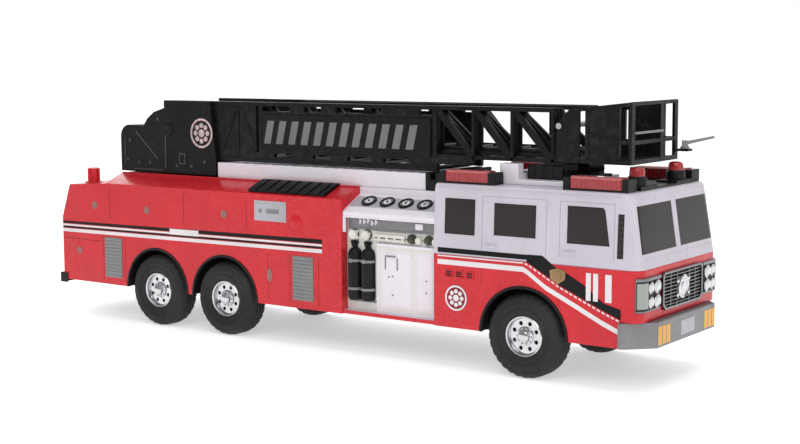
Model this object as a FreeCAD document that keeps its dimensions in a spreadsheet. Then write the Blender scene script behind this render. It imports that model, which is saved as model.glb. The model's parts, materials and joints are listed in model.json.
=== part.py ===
"""Toy fire engine, 787 mm long: red and white body on three axles, with a turning turret,
a raising and telescoping ladder and a levelled bucket. +X is forward, +Z up, origin on the ground."""

import FreeCAD, Part
import math
import operator
import os
import sys

import Sketcher

SIZES = {
    # whole toy
    "half_length": 393.5, "half_width": 89, "total_height": 267,
    "body_side": 86, "body_low": 41.5, "wall": 3, "fit_gap": 0.3, "cut_over": 1,
    # running gear
    "tyre_radius": 41.5, "tyre_outer": 87, "tyre_inner": 59, "tyre_shoulder": 5,
    "hub_radius": 20.5, "hub_outer": 84.5, "hub_inner": 61, "hub_dish": 6, "hub_rim": 2.5,
    "hub_nave": 7, "hub_spacer": 53.5, "nave_outer": 82.5, "axle_radius": 2.5, "axle_end": 83,
    "bearing_gap": 0.06, "rear_axle": -229, "middle_axle": -124, "front_axle": 262,
    "arch_radius": 47, "liner_skin": 2, "liner_inner": 50,
    # chassis tray and pan
    "tray_rear": -372, "tray_front": 364, "tray_half": 50, "tray_low": 36, "tray_high": 70,
    "pan_low": 42, "pan_high": 45, "bearing_half": 7, "bearing_top": 50,
    "door_rear": -60, "door_front": 40, "door_half": 38, "door_skin": 1.5,
    "cell_radius": 7.1, "cell_length": 50, "cell_pitch": 16, "cell_rear": -35,
    "speaker_radius": 20, "speaker_depth": 8, "speaker_mid": 110,
    "board_rear": 150, "board_front": 206, "board_half": 25, "board_low": 48, "board_skin": 1.6,
    "post_radius": 3, "post_inset": 5, "screw_head": 3.2, "screw_shank": 1.5, "screw_deep": 9,
    "screw_head_deep": 1.8, "screw_off": 43,
    # rear body
    "red_rear": -388, "red_lean": 14, "lean_start": 118, "red_step": -312, "red_front": 42,
    "shoulder_low": 162, "deck_rear_top": 158, "deck_step_top": 162, "main_top": 173, "main_half": 58,
    "knee_trim": 2, "flat_trim": 0.6, "bumper_step_low": 37.5, "bumper_step_high": 49.5,
    "bumper_step_half": 87.5, "bumper_step_wrap": -381,
    # white deck under the ladder
    "deck_rear": -166, "deck_front": 124, "deck_half": 50, "deck_top": 190.5, "rest_front": 142,
    "rest_top": 191.5, "rest_groove": 6, "deck_hollow_rear": -140,
    # pump console between the rear body and the cab
    "console_half": 84, "console_low": 145, "console_lip": 149.5, "console_knee": 82,
    "console_knee_top": 151.2, "console_inner": 54, "console_crest": 166, "panel_outer": 76,
    "panel_inner": 73, "door_face": 79, "cabinet_rear": 84, "cabinet_front": 152,
    "cabinet_low": 49, "cabinet_high": 118,
    "gauge_first": 65, "gauge_pitch": 23.5, "gauge_radius": 7.5, "gauge_rise": 3,
    "gauge_out": 67, "cylinder_radius": 8, "cylinder_first": 54, "cylinder_pitch": 17,
    "cylinder_low": 56, "cylinder_high": 116, "cylinder_out": 77.5,
    # trim on the rear body
    "trim_rise": 1, "shutter_low": 50, "shutter_high": 98, "shutter_rear_a": -314,
    "shutter_front_a": -286, "shutter_rear_b": -24, "shutter_front_b": 4,
    "louvre_rear": -88, "louvre_front": 18, "louvre_foot": 163.6, "louvre_head": 175.8,
    # cab
    "cab_rear": 158.5, "cab_front": 385, "belt": 115, "roof": 185, "roof_side": 82.5,
    "roof_front": 374.5, "cab_corner": 12, "roof_round": 6, "glass_inset": 0.8, "glass_skin": 2,
    "side_sill": 135.5, "side_head": 171, "front_sill": 129, "front_head": 173,
    "pane_half": 77, "post_half": 4.5, "pane_lean": 1.5,
    "window_a": 171, "window_a_end": 206.5, "window_b": 228, "window_b_end": 275,
    "window_b_sill": 137.5, "window_b_head": 169,
    "window_c": 308.5, "window_c_end": 348, "window_c_foot": 353.5,
    "slot_rear": 361, "slot_front": 367.5, "slot_low": 125, "slot_high": 166, "corner_cut": 2.5,
    # front
    "bumper_low": 41.5, "bumper_high": 66, "bumper_rear": 364, "bumper_corner": 25,
    "grille_half": 43, "grille_low": 72, "grille_high": 108, "grille_rise": 4, "lamp_inner": 45,
    "lamp_outer": 78, "lamp_low": 76, "lamp_high": 107, "lamp_rise": 3,
    # roof fittings
    "bar_inner": 60, "bar_outer": 78, "bar_base": 1.5, "bar_top": 198.5, "bar_end": 7,
    "bar_a": 159.5, "bar_a_end": 224, "bar_b": 300, "bar_b_end": 368, "lens_trim": 1.5,
    "cradle_rear": 218, "cradle_front": 239, "cradle_half": 58, "cradle_top": 205.5,
    "cradle_bed": 196, "cradle_ear": 46.5, "step_front": 290, "step_top": 190, "rack_rear": 242,
    "rack_front": 370, "rack_half": 38, "rack_skin": 2, "rack_pad": 348, "pad_inner": 22,
    "pad_outer": 56, "pad_top": 189, "pedestal_radius": 9.5, "pedestal_top": 196,
    "horn_front": 280, "horn_half": 44, "horn_inner": 12, "horn_top": 203.5,
    "beacon_mid": 359, "beacon_off": 42, "beacon_radius": 7.5, "beacon_top": 206.5, "beacon_round": 3,
    # turret
    "turret_axis": -243, "turret_rear": -321, "turret_front": -167, "turret_half": 50,
    "cheek_inner": 45.2, "turret_low": 174.6, "turret_floor": 185, "ring_top": 174.3,
    "ring_radius": 44, "hub_bore": 12, "turret_hub": 30, "hub_low": 165, "washer_low": 166,
    "washer_skin": 3.5, "washer_radius": 36, "shell_hole": 31, "hood_round": 14, "hood_top": 230,
    "hood_front": -282, "pivot_height": 225, "pivot_reach": 26, "pin_radius": 4, "pin_head": 7,
    "pin_out": 52, "cheek_slant": 8, "swing_radius": 93.4, "crown_rear": -248, "crown_low": 251,
    "bend_along": -265, "bend_high": 246, "bend_foot": -276, "bend_foot_high": 238,
    # ladder
    "base_outer": 44.5, "base_inner": 39.3, "base_front": 272, "ladder_top": 260,
    "plate_low": 192.5, "plate_end": 135, "mid_low": 200.5, "mid_low_end": 178, "truss_low": 206.5,
    "rail": 4, "post": 4, "brace": 5, "cheek_clear": -160,
    "slit_rear": -110, "slit_front": -106, "name_rear": -103, "name_front": 128,
    "name_low": 206.5, "name_high": 246.5, "name_rise": 1.6, "foot_low": 199, "foot_high": 203.5,
    "foot_1": -84, "foot_1_end": -58, "foot_2": -29, "foot_2_end": -5, "foot_3": 19, "foot_3_end": 51,
    "foot_4": 66, "foot_4_end": 100, "head_low": 250, "head_high": 255.5, "head_1": -101,
    "head_1_end": -61, "head_2": -41, "head_2_end": -17, "head_3": 3, "head_3_end": 67,
    "head_4": 112, "head_4_end": 129,
    "second_outer": 38.3, "second_inner": 34.3, "second_rear": -103, "second_front": 273,
    "second_low": 211, "second_top": 259.5, "third_outer": 33.3, "third_inner": 29.7,
    "third_rear": -102, "third_front": 274, "third_low": 214.5, "third_top": 259,
    "rung": 3, "rung_pitch": 47, "bucket_axis": 280, "bucket_pivot": 243, "lug_radius": 7.5,
    "bucket_pin": 3, "bucket_pin_out": 51.5,
    # bucket
    "bucket_outer": 50, "bucket_inner": 46.5, "arm_rear": 277, "arm_shoulder": 283,
    "arm_shoulder_top": 251, "arm_top_rear": 291, "bucket_rear_top": 259.5, "bucket_front": 357,
    "bucket_low": 208, "bucket_cut": 9, "bucket_rail": 3.5, "panel_rear": 308, "panel_front": 344,
    "slot_start": 301.5, "slot_foot": 224, "gap_foot": 213.5, "gap_head": 220.5,
    "bucket_post": 3, "bucket_floor_skin": 3, "bucket_mid_rail": 227, "gate_half": 15,
    # nozzle
    "nozzle_along": 364, "nozzle_across": 51.5, "shelf_low": 216, "shelf_high": 218.4,
    "shelf_front": 369.5, "shelf_left": 57, "nozzle_yaw": 32, "nozzle_pitch": 12, "peg_radius": 1.5,
    "swivel_radius": 4.5, "swivel_skin": 2, "ear_inner": 2.2, "ear_outer": 3.6, "ear_half": 2.6,
    "trunnion_up": 5.2, "trunnion_radius": 1, "barrel_root": 2.4, "barrel_tip": 1.2,
    "barrel_length": 29,
    # pump
    "knob_along": -357, "knob_across": -62, "knob_radius": 7.5, "knob_top": 177, "knob_hole": 7.58,
    "flange_radius": 9.2, "flange_high": 154.8, "flange_low": 151.8, "barrel_outer": 11.5,
    "barrel_bore": 9.6, "barrel_floor": 118, "barrel_low": 114, "spring_radius": 6.5,
    "spring_wire": 0.7, "spring_turns": 7, "tank_rear": -369, "tank_front": -295, "tank_right": -40,
    "tank_left": 78, "tank_low": 96, "tank_high": 148, "tank_skin": 2, "pipe_radius": 4,
    "pipe_height": 119,
}
DIALS = 4
BOTTLES = 2
LOW_RUNGS = 7
HIGH_RUNGS = 3
SLOTS = (1, 2, 3, 4)
BASE_CELLS = 3
SECTION_CELLS = 8
# how close, in mm, an edge must lie to a face to be picked for rounding
NEAR = 1


class Size:
    """A length that carries both its value and the spreadsheet expression it comes from."""

    SIGNS = {"+": operator.add, "-": operator.sub, "*": operator.mul, "/": operator.truediv}

    def __init__(self, value, text):
        self.value = value
        self.text = text

    def joined(self, sign, other, swap=False):
        one, two = self, as_size(other)
        if swap:
            one, two = two, one
        return Size(Size.SIGNS[sign](one.value, two.value), f"({one.text} {sign} {two.text})")

    def __add__(self, other):
        return self.joined("+", other)

    def __radd__(self, other):
        return self.joined("+", other, True)

    def __sub__(self, other):
        return self.joined("-", other)

    def __rsub__(self, other):
        return self.joined("-", other, True)

    def __mul__(self, other):
        return self.joined("*", other)

    def __rmul__(self, other):
        return self.joined("*", other, True)

    def __truediv__(self, other):
        return self.joined("/", other)

    def __neg__(self):
        return self.joined("*", -1)


def as_size(thing):
    """A plain number becomes a Size with itself as its expression."""
    return thing if isinstance(thing, Size) else Size(float(thing), f"({float(thing)})")


class Cells:
    """Reads a driving dimension by its alias: d.wall is the cell named wall."""

    def __getattr__(self, name):
        return Size(SIZES[name], "dims." + name)


doc = FreeCAD.newDocument("toy_fire_engine")
d = Cells()
DOWN = FreeCAD.Rotation(FreeCAD.Vector(1, 0, 0), -90)
TURNS = {
    "x": FreeCAD.Rotation(FreeCAD.Vector(0, 1, 0), 90),
    "y": FreeCAD.Rotation(FreeCAD.Vector(1, 0, 0), -90),
    "z": FreeCAD.Rotation(),
}
PLANES = {"x": "YZ_Plane", "y": "XZ_Plane", "z": "XY_Plane"}
RIGHT, LEFT = -1, 1
parts = []


def make_sheet():
    """The driving dimensions, one row each: name in column A, value in column B under its alias."""
    sheet = doc.addObject("Spreadsheet::Sheet", "dims")
    for row, (name, value) in enumerate(SIZES.items(), start=1):
        sheet.set(f"A{row}", name)
        sheet.set(f"B{row}", str(value))
        sheet.setAlias(f"B{row}", name)
    doc.recompute()


def bind(thing, prop, size):
    thing.setExpression(prop, as_size(size).text)


def place(thing, x, y, z, turn=None):
    """Puts an object at a bound position, with an optional fixed rotation."""
    thing.Placement = FreeCAD.Placement(FreeCAD.Vector(), turn or FreeCAD.Rotation())
    for axis, size in zip("xyz", (x, y, z)):
        bind(thing, "Placement.Base." + axis, size)
    return thing


def block(name, x, y, z):
    """A box from (low, high) pairs."""
    box = doc.addObject("Part::Box", name)
    for prop, (low, high) in zip(("Length", "Width", "Height"), (x, y, z)):
        bind(box, prop, high - low)
    return place(box, x[0], y[0], z[0])


def rod(name, axis, centre, radius, low, high):
    """A cylinder along an axis; centre is the point's other two coordinates in X, Y, Z order."""
    bar = doc.addObject("Part::Cylinder", name)
    bind(bar, "Radius", radius)
    bind(bar, "Height", high - low)
    spot = list(centre)
    spot.insert("xyz".index(axis), low)
    return place(bar, *spot, turn=TURNS[axis])


def loop_constraints(sketch, loop, first):
    """Closes a loop of lines and ties each corner to the sheet."""
    count = len(loop)
    for i in range(count):
        sketch.addConstraint(Sketcher.Constraint("Coincident", first + i, 2, first + (i + 1) % count, 1))
    for i, point in enumerate(loop):
        for kind, size in zip(("DistanceX", "DistanceY"), point):
            row = sketch.addConstraint(Sketcher.Constraint(kind, -1, 1, first + i, 1, as_size(size).value))
            bind(sketch, f"Constraints[{row}]", size)


def prism(name, axis, loops, low, high):
    """A padded sketch in a PartDesign body. Along y an outline is (x, z), along x (y, z), along z (x, y)."""
    body = doc.addObject("PartDesign::Body", name)
    plane = next(item for item in body.Origin.OriginFeatures if item.Role == PLANES[axis])
    sketch = body.newObject("Sketcher::SketchObject", name + "_sketch")
    sketch.AttachmentSupport = [(plane, "")]
    sketch.MapMode = "FlatFace"
    # the XZ plane faces -Y, so a pad along y starts from its far end
    bind(sketch, "AttachmentOffset.Base.z", -high if axis == "y" else low)
    for loop in loops:
        first = sketch.GeometryCount
        ends = [FreeCAD.Vector(as_size(a).value, as_size(b).value, 0) for a, b in loop]
        for start, end in zip(ends, ends[1:] + ends[:1]):
            sketch.addGeometry(Part.LineSegment(start, end), False)
        loop_constraints(sketch, loop, first)
    pad = body.newObject("PartDesign::Pad", name + "_pad")
    pad.Profile = sketch
    bind(pad, "Length", high - low)
    return body


def rectangle(low_a, high_a, low_b, high_b):
    return [(low_a, low_b), (high_a, low_b), (high_a, high_b), (low_a, high_b)]


def fuse(name, pieces):
    union = doc.addObject("Part::MultiFuse", name)
    union.Shapes = pieces
    union.Refine = True
    return union


def gather(name, pieces):
    """Separate solids that share one node."""
    compound = doc.addObject("Part::Compound", name)
    compound.Links = pieces
    return compound


def cut(name, base, tools):
    result = doc.addObject("Part::Cut", name)
    result.Base = base
    result.Tool = tools[0] if len(tools) == 1 else fuse(name + "_tools", tools)
    result.Refine = True
    return result


def common(name, one, two):
    result = doc.addObject("Part::MultiCommon", name)
    result.Shapes = [one, two]
    result.Refine = True
    return result


def mirrored(name, source):
    """The same piece on the toy's other side."""
    copy = doc.addObject("Part::Mirroring", name)
    copy.Source = source
    copy.Normal = FreeCAD.Vector(0, 1, 0)
    return copy


def pair(name, source):
    """A piece and its mirror image as two solids of one node."""
    return gather(name, [source, mirrored(name + "_other", source)])


def rounded(name, base, radius, chosen):
    """Fillets the edges whose middle point passes the test."""
    doc.recompute()
    result = doc.addObject("Part::Fillet", name)
    result.Base = base
    edges = []
    for number, edge in enumerate(base.Shape.Edges, start=1):
        middle = edge.valueAt((edge.FirstParameter + edge.LastParameter) / 2)
        if chosen(middle, edge):
            edges.append((number, radius.value, radius.value))
    result.Edges = edges
    return result


def keep(node, piece):
    """Marks an object as a finished sub-part and gives it the node's name."""
    piece.Label = node
    parts.append(piece)
    return piece


# ---------------------------------------------------------------- running gear

def make_axle_set(name, along):
    """One steel axle with a hub and a tyre pressed on at each end."""
    middle = (along, d.tyre_radius)
    keep(f"{name}_axle", rod(f"{name}_axle", "y", middle, d.axle_radius, -d.axle_end, d.axle_end))
    hubs = []
    for side, word in ((RIGHT, "right"), (LEFT, "left")):
        tag = f"{name}_{word}"

        def reach(one, two):
            return (one, two) if side == LEFT else (-two, -one)

        disc = rod(tag + "_disc", "y", middle, d.tyre_radius, *reach(d.tyre_inner, d.tyre_outer))
        soft = rounded(tag + "_soft", disc, d.tyre_shoulder,
                       lambda point, edge: edge.Curve.TypeId == "Part::GeomCircle")
        seat = rod(tag + "_seat", "y", middle, d.hub_radius,
                   *reach(d.tyre_inner - d.cut_over, d.tyre_outer + d.cut_over))
        keep(f"{name}_tyre_{word}", cut(tag + "_tyre", soft, [seat]))

        wheel = rod(tag + "_wheel", "y", middle, d.hub_radius, *reach(d.hub_inner, d.hub_outer))
        dish = rod(tag + "_dish", "y", middle, d.hub_radius - d.hub_rim,
                   *reach(d.hub_outer - d.hub_dish, d.hub_outer + d.cut_over))
        nave = rod(tag + "_nave", "y", middle, d.hub_nave, *reach(d.hub_spacer, d.nave_outer))
        bore = rod(tag + "_bore", "y", middle, d.axle_radius,
                   *reach(d.hub_spacer - d.cut_over, d.axle_end))
        plate = cut(tag + "_plate", wheel, [dish])
        hubs.append(cut(tag + "_hub", fuse(tag + "_boss", [plate, nave]), [bore]))
    keep(f"{name}_hubs", gather(f"{name}_hub_pair", hubs))


AXLES = {"front": d.front_axle, "middle": d.middle_axle, "rear": d.rear_axle}


# ---------------------------------------------------------------- chassis and what it holds

def make_chassis():
    """A tray along the middle, a pan out to the body walls, wheel wells and axle bearings."""
    tray = block("tray_block", (d.tray_rear, d.tray_front), (-d.tray_half, d.tray_half),
                 (d.tray_low, d.tray_high))
    hollow = block("tray_hollow", (d.tray_rear + d.wall, d.tray_front - d.wall),
                   (d.wall - d.tray_half, d.tray_half - d.wall),
                   (d.tray_low + d.wall, d.tray_high + d.cut_over))
    inner_side = d.body_side - d.wall
    pan = block("pan", (d.red_rear + d.wall, d.tray_front), (-inner_side, inner_side),
                (d.pan_low, d.pan_high))
    pan_middle = block("pan_middle", (d.tray_rear, d.tray_front), (-d.tray_half, d.tray_half),
                       (d.pan_low - d.cut_over, d.pan_high + d.cut_over))
    solids = [cut("tray", tray, [hollow]), cut("pan_sides", pan, [pan_middle])]
    holes = []
    for name, along in AXLES.items():
        middle = (along, d.tyre_radius)
        bearing = block(name + "_bearing", (along - d.bearing_half, along + d.bearing_half),
                        (-d.tray_half, d.tray_half), (d.tray_low, d.bearing_top))
        solids.append(bearing)
        well = rod(name + "_well", "y", middle, d.arch_radius + d.liner_skin, -inner_side, inner_side)
        below = block(name + "_below", (along - d.half_width, along + d.half_width),
                      (-d.half_width, d.half_width), (d.tyre_radius - d.half_width, d.pan_low))
        between = block(name + "_between", (along - d.half_width, along + d.half_width),
                        (-d.liner_inner, d.liner_inner), (d.tyre_radius, d.half_width * 2))
        solids.append(cut(name + "_wells", well, [below, between]))
        for side, word in ((RIGHT, "right"), (LEFT, "left")):
            low, high = d.liner_inner + d.liner_skin, d.half_width
            if side == RIGHT:
                low, high = -high, -low
            holes.append(rod(f"{name}_room_{word}", "y", middle, d.arch_radius, low, high))
        holes.append(rod(name + "_axle_hole", "y", middle, d.axle_radius + d.bearing_gap,
                         -d.half_width, d.half_width))
    for spot, (along, across) in enumerate(board_corners()):
        solids.append(rod(f"post_{spot}", "z", (along, across), d.post_radius,
                          d.tray_low + d.wall, d.board_low))
    for spot, (along, across) in enumerate(screw_spots()):
        solids.append(rod(f"boss_{spot}", "z", (along, across), d.screw_head + d.liner_skin,
                          d.tray_low, d.tray_low + d.screw_deep + d.wall))
        holes.append(rod(f"screw_hole_{spot}", "z", (along, across), d.screw_shank,
                         d.tray_low - d.cut_over, d.tray_low + d.screw_deep))
        holes.append(rod(f"screw_seat_{spot}", "z", (along, across), d.screw_head,
                         d.tray_low - d.cut_over, d.tray_low + d.screw_head_deep))
    holes.append(block("battery_hole", (d.door_rear, d.door_front), (-d.door_half, d.door_half),
                       (d.tray_low - d.cut_over, d.tray_low + d.wall + d.cut_over)))
    keep("chassis", cut("chassis", fuse("chassis_sum", solids), holes))


def board_corners():
    for along in (d.board_rear + d.post_inset, d.board_front - d.post_inset):
        for across in (d.post_inset - d.board_half, d.board_half - d.post_inset):
            yield along, across


def screw_spots():
    for along in (d.tray_rear + d.wall * 3, d.rear_axle - d.arch_radius, d.middle_axle + d.arch_radius,
                  d.cab_rear, d.tray_front - d.wall * 3):
        for across in (-d.screw_off, d.screw_off):
            yield along, across


def make_inner_pieces():
    """Battery door, cells, loudspeaker, circuit board and screws."""
    keep("battery_door", block("battery_door", (d.door_rear, d.door_front),
                               (-d.door_half, d.door_half), (d.tray_low, d.tray_low + d.door_skin)))
    cells = [rod(f"cell_{row}", "x", (d.cell_pitch * row, d.tray_low + d.door_skin + d.cell_radius),
                 d.cell_radius, d.cell_rear, d.cell_rear + d.cell_length) for row in (-1, 0, 1)]
    keep("batteries", gather("batteries", cells))
    keep("speaker", rod("speaker", "z", (d.speaker_mid, 0), d.speaker_radius,
                        d.tray_low + d.wall, d.tray_low + d.wall + d.speaker_depth))
    keep("circuit_board", block("circuit_board", (d.board_rear, d.board_front),
                                (-d.board_half, d.board_half), (d.board_low, d.board_low + d.board_skin)))
    screws = []
    for spot, (along, across) in enumerate(screw_spots()):
        shank = rod(f"shank_{spot}", "z", (along, across), d.screw_shank,
                    d.tray_low, d.tray_low + d.screw_deep)
        head = rod(f"head_{spot}", "z", (along, across), d.screw_head,
                   d.tray_low, d.tray_low + d.screw_head_deep)
        screws.append(fuse(f"screw_{spot}", [shank, head]))
    keep("chassis_screws", gather("chassis_screws", screws))


# ---------------------------------------------------------------- red rear body

def main_section(walls):
    """Cross-section (y, z) of the main red body, drawn in by a number of wall thicknesses."""
    side = d.body_side - d.wall * walls
    knee = d.shoulder_low - d.knee_trim * walls
    flat = d.main_half - d.flat_trim * walls
    top = d.main_top - d.wall * walls
    foot = d.body_low - d.cut_over * walls
    return [(-side, foot), (side, foot), (side, knee), (flat, top), (-flat, top), (-side, knee)]


def tail_profile(walls):
    """Side outline (x, z) of the lower, leaning rear end, reaching into the main section."""
    rear = d.red_rear + d.wall * walls
    back = d.deck_rear_top - d.wall * walls
    top = d.deck_step_top - d.wall * walls
    foot = d.body_low - d.cut_over * walls
    reach = d.red_step + d.wall * 2
    return [(rear, foot), (reach, foot), (reach, top), (rear + d.red_lean, back), (rear, d.lean_start)]


def chassis_room():
    """The space of the chassis pan and tray, kept clear of every wall that crosses it."""
    side = d.body_side - d.wall
    return [block("pan_room", (d.red_rear + d.wall, d.tray_front), (-side, side),
                  (d.body_low - d.cut_over, d.pan_high)),
            block("tray_room", (d.tray_rear, d.tray_front), (-d.tray_half, d.tray_half),
                  (d.body_low - d.cut_over, d.tray_high))]


def arch_tools(names):
    tools = []
    for name in names:
        tools.append(rod(name + "_arch", "y", (AXLES[name], d.tyre_radius), d.arch_radius,
                         -d.half_width, d.half_width))
    return tools


def make_rear_body():
    """The red shell: high main part, lower tail with a leaning back, four wheel arches."""
    whole = fuse("red_whole", [
        prism("red_main", "x", [main_section(0)], d.red_step, d.red_front),
        prism("red_tail", "y", [tail_profile(0)], -d.body_side, d.body_side)])
    side = d.body_side - d.wall
    hollow = fuse("red_hollow", [
        prism("red_main_in", "x", [main_section(1)], d.red_step + d.wall, d.red_front - d.wall),
        prism("red_tail_in", "y", [tail_profile(1)], -side, side)])
    tools = arch_tools(("rear", "middle")) + chassis_room()
    tools.append(rod("turret_hole", "z", (d.turret_axis, 0), d.shell_hole, d.console_low, d.deck_top))
    tools.append(rod("knob_hole", "z", (d.knob_along, d.knob_across), d.knob_hole,
                     d.console_low, d.deck_top))
    shell = cut("red_shell", whole, [hollow])
    keep("rear_body", cut("rear_body", shell, tools))
    height = (d.bumper_step_low, d.bumper_step_high)
    step = block("step_block", (-d.half_length, d.bumper_step_wrap),
                 (-d.bumper_step_half, d.bumper_step_half), height)
    inside = block("step_room", (d.red_rear, d.bumper_step_wrap + d.cut_over),
                   (-d.body_side, d.body_side), (height[0] - d.cut_over, height[1] + d.cut_over))
    keep("rear_bumper", cut("rear_bumper", step, [inside]))


def make_body_trim():
    """Grey roll-up shutters on the sides and black louvred vents on the shoulders."""
    shutters = []
    for tag, rear, front in (("a", d.shutter_rear_a, d.shutter_front_a),
                             ("b", d.shutter_rear_b, d.shutter_front_b)):
        shutters.append(block("shutter_" + tag, (rear, front),
                              (-d.body_side - d.trim_rise, -d.body_side),
                              (d.shutter_low, d.shutter_high)))
    keep("shutters", gather("shutters", shutters + [mirrored(s.Name + "_left", s) for s in shutters]))
    # the shoulder slope from its knee up to the flat top, and a point a given share of the way up it
    run, climb = d.body_side - d.main_half, d.main_top - d.shoulder_low
    foot_share = (d.louvre_foot - d.shoulder_low) / climb
    foot_across = d.body_side - run * foot_share
    inner = d.main_half - d.wall
    outline = [(-foot_across, d.louvre_foot), (-foot_across - d.wall, d.louvre_foot + d.wall),
               (-d.main_half - d.wall, d.louvre_head), (-inner, d.louvre_head),
               (-inner, d.main_top), (-d.main_half, d.main_top)]
    vent = prism("louvre_right", "x", [outline], d.louvre_rear, d.louvre_front)
    keep("louvres", pair("louvres", vent))


# ---------------------------------------------------------------- ladder deck and pump console

def make_deck():
    """White deck under the ladder, hollowed at the back for the turning turret, and the ladder rest."""
    slab = block("deck_slab", (d.deck_rear, d.deck_front), (-d.deck_half, d.deck_half),
                 (d.main_top, d.deck_top))
    swing = rod("turret_swing", "z", (d.turret_axis, 0), d.swing_radius, d.console_low,
                d.deck_top + d.cut_over)
    room = block("deck_room", (d.deck_hollow_rear, d.deck_front - d.wall),
                 (d.wall - d.deck_half, d.deck_half - d.wall),
                 (d.main_top - d.cut_over, d.deck_top - d.wall))
    keep("ladder_deck", cut("ladder_deck", slab, [swing, room]))
    rest = block("rest_block", (d.deck_front, d.rest_front), (-d.deck_half, d.deck_half),
                 (d.main_top, d.rest_top))
    groove = block("rest_groove_room", (d.deck_front + d.rest_groove, d.rest_front - d.rest_groove),
                   (-d.half_width, d.half_width), (d.deck_top - d.rest_groove, d.roof * 2))
    keep("ladder_rest", cut("ladder_rest", rest, [groove]))


def make_console():
    """White saddle with a sloping gauge face on each side, and the panels below it."""
    half = [(d.console_half, d.console_low), (d.console_half, d.console_lip),
            (d.console_knee, d.console_knee_top), (d.console_inner, d.console_crest),
            (d.console_inner, d.main_top)]
    outline = [(-a, b) for a, b in half] + [(a, b) for a, b in reversed(half)]
    saddle = prism("console_saddle", "x", [outline], d.red_front, d.cab_rear)
    under = block("console_room", (d.red_front + d.wall, d.cab_rear - d.wall),
                  (d.wall - d.console_inner, d.console_inner - d.wall),
                  (d.console_low - d.cut_over, d.main_top - d.wall))
    keep("pump_console", cut("pump_console", saddle, [under]))

    plate = block("panel_plate", (d.red_front, d.cab_rear), (-d.panel_outer, -d.panel_inner),
                  (d.pan_high, d.console_low))
    cabinet = block("panel_cabinet", (d.cabinet_rear, d.cabinet_front), (-d.door_face, -d.panel_outer),
                    (d.cabinet_low, d.cabinet_high))
    keep("pump_panels", pair("pump_panels", fuse("panel_right", [plate, cabinet])))

    rise = (d.console_crest - d.console_knee_top) / (d.console_knee - d.console_inner)
    tilt = FreeCAD.Rotation(FreeCAD.Vector(1, 0, 0), math.degrees(math.atan(rise.value)))
    across = d.gauge_out
    height = d.console_crest - (across - d.console_inner) * rise
    dials = []
    for row in range(DIALS):
        dial = rod(f"dial_{row}", "z", (0, 0), d.gauge_radius, 0, d.gauge_rise)
        dials.append(place(dial, d.gauge_first + d.gauge_pitch * row, -across, height, tilt))
    keep("gauges", gather("gauges", dials + [mirrored(dial.Name + "_left", dial) for dial in dials]))

    cylinders = []
    for row in range(BOTTLES):
        spot = (d.cylinder_first + d.cylinder_pitch * row, -d.cylinder_out)
        shape = rod(f"bottle_{row}", "z", spot, d.cylinder_radius, d.cylinder_low, d.cylinder_high)
        room = block(f"bottle_back_{row}", (d.red_front, d.cab_rear), (-d.panel_outer, 0),
                     (d.pan_low, d.console_low))
        cylinders.append(cut(f"bottle_cut_{row}", shape, [room]))
    keep("air_cylinders", gather("air_cylinders",
                                 cylinders + [mirrored(c.Name + "_left", c) for c in cylinders]))


# ---------------------------------------------------------------- cab

def cab_block(name, inset, low, high):
    """The cab's upper body drawn in by an inset: leaning front, sides leaning in a little."""
    front, top_front = d.cab_front - inset, d.roof_front - inset
    side, top_side = d.body_side - inset, d.roof_side - inset
    rear = d.cab_rear + inset
    along = prism(name + "_along", "y", [[(rear, low), (front, low), (top_front, high), (rear, high)]],
                  -d.half_width, d.half_width)
    across = prism(name + "_across", "x", [[(-side, low), (side, low), (top_side, high),
                                            (-top_side, high)]], d.cab_rear - d.cut_over, d.half_length)
    return common(name, along, across)


def is_front_corner(point, edge):
    """The two upright edges at the cab's front corners."""
    box = edge.BoundBox
    return (point.x > SIZES["roof_front"] - SIZES["wall"] * 2 and box.ZLength > SIZES["wall"] * 2
            and abs(point.y) > SIZES["half_width"] / 2)


def is_roof_edge(point, edge):
    """The long edges round the roof, apart from the one at the back."""
    return (abs(point.z - SIZES["roof"]) < NEAR and edge.BoundBox.ZLength < NEAR
            and point.x > SIZES["cab_rear"] + NEAR)


def side_openings():
    """Outlines (x, z) of the side windows and of the narrow vent slot behind the front corner."""
    trim = d.corner_cut
    third = [(d.window_c, d.side_sill), (d.window_c_foot, d.side_sill),
             (d.window_c_end, d.side_head - trim), (d.window_c_end - trim, d.side_head),
             (d.window_c, d.side_head)]
    return [rectangle(d.window_a, d.window_a_end, d.side_sill, d.side_head),
            rectangle(d.window_b, d.window_b_end, d.window_b_sill, d.window_b_head),
            third,
            rectangle(d.slot_rear, d.slot_front, d.slot_low, d.slot_high)]


def front_openings():
    """Outlines (y, z) of the two windscreen panes."""
    lean = d.pane_lean
    right = [(-d.pane_half, d.front_sill), (-d.post_half, d.front_sill),
             (-d.post_half, d.front_head), (lean - d.pane_half, d.front_head)]
    left = [(-a, b) for a, b in reversed(right)]
    return [right, left]


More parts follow.
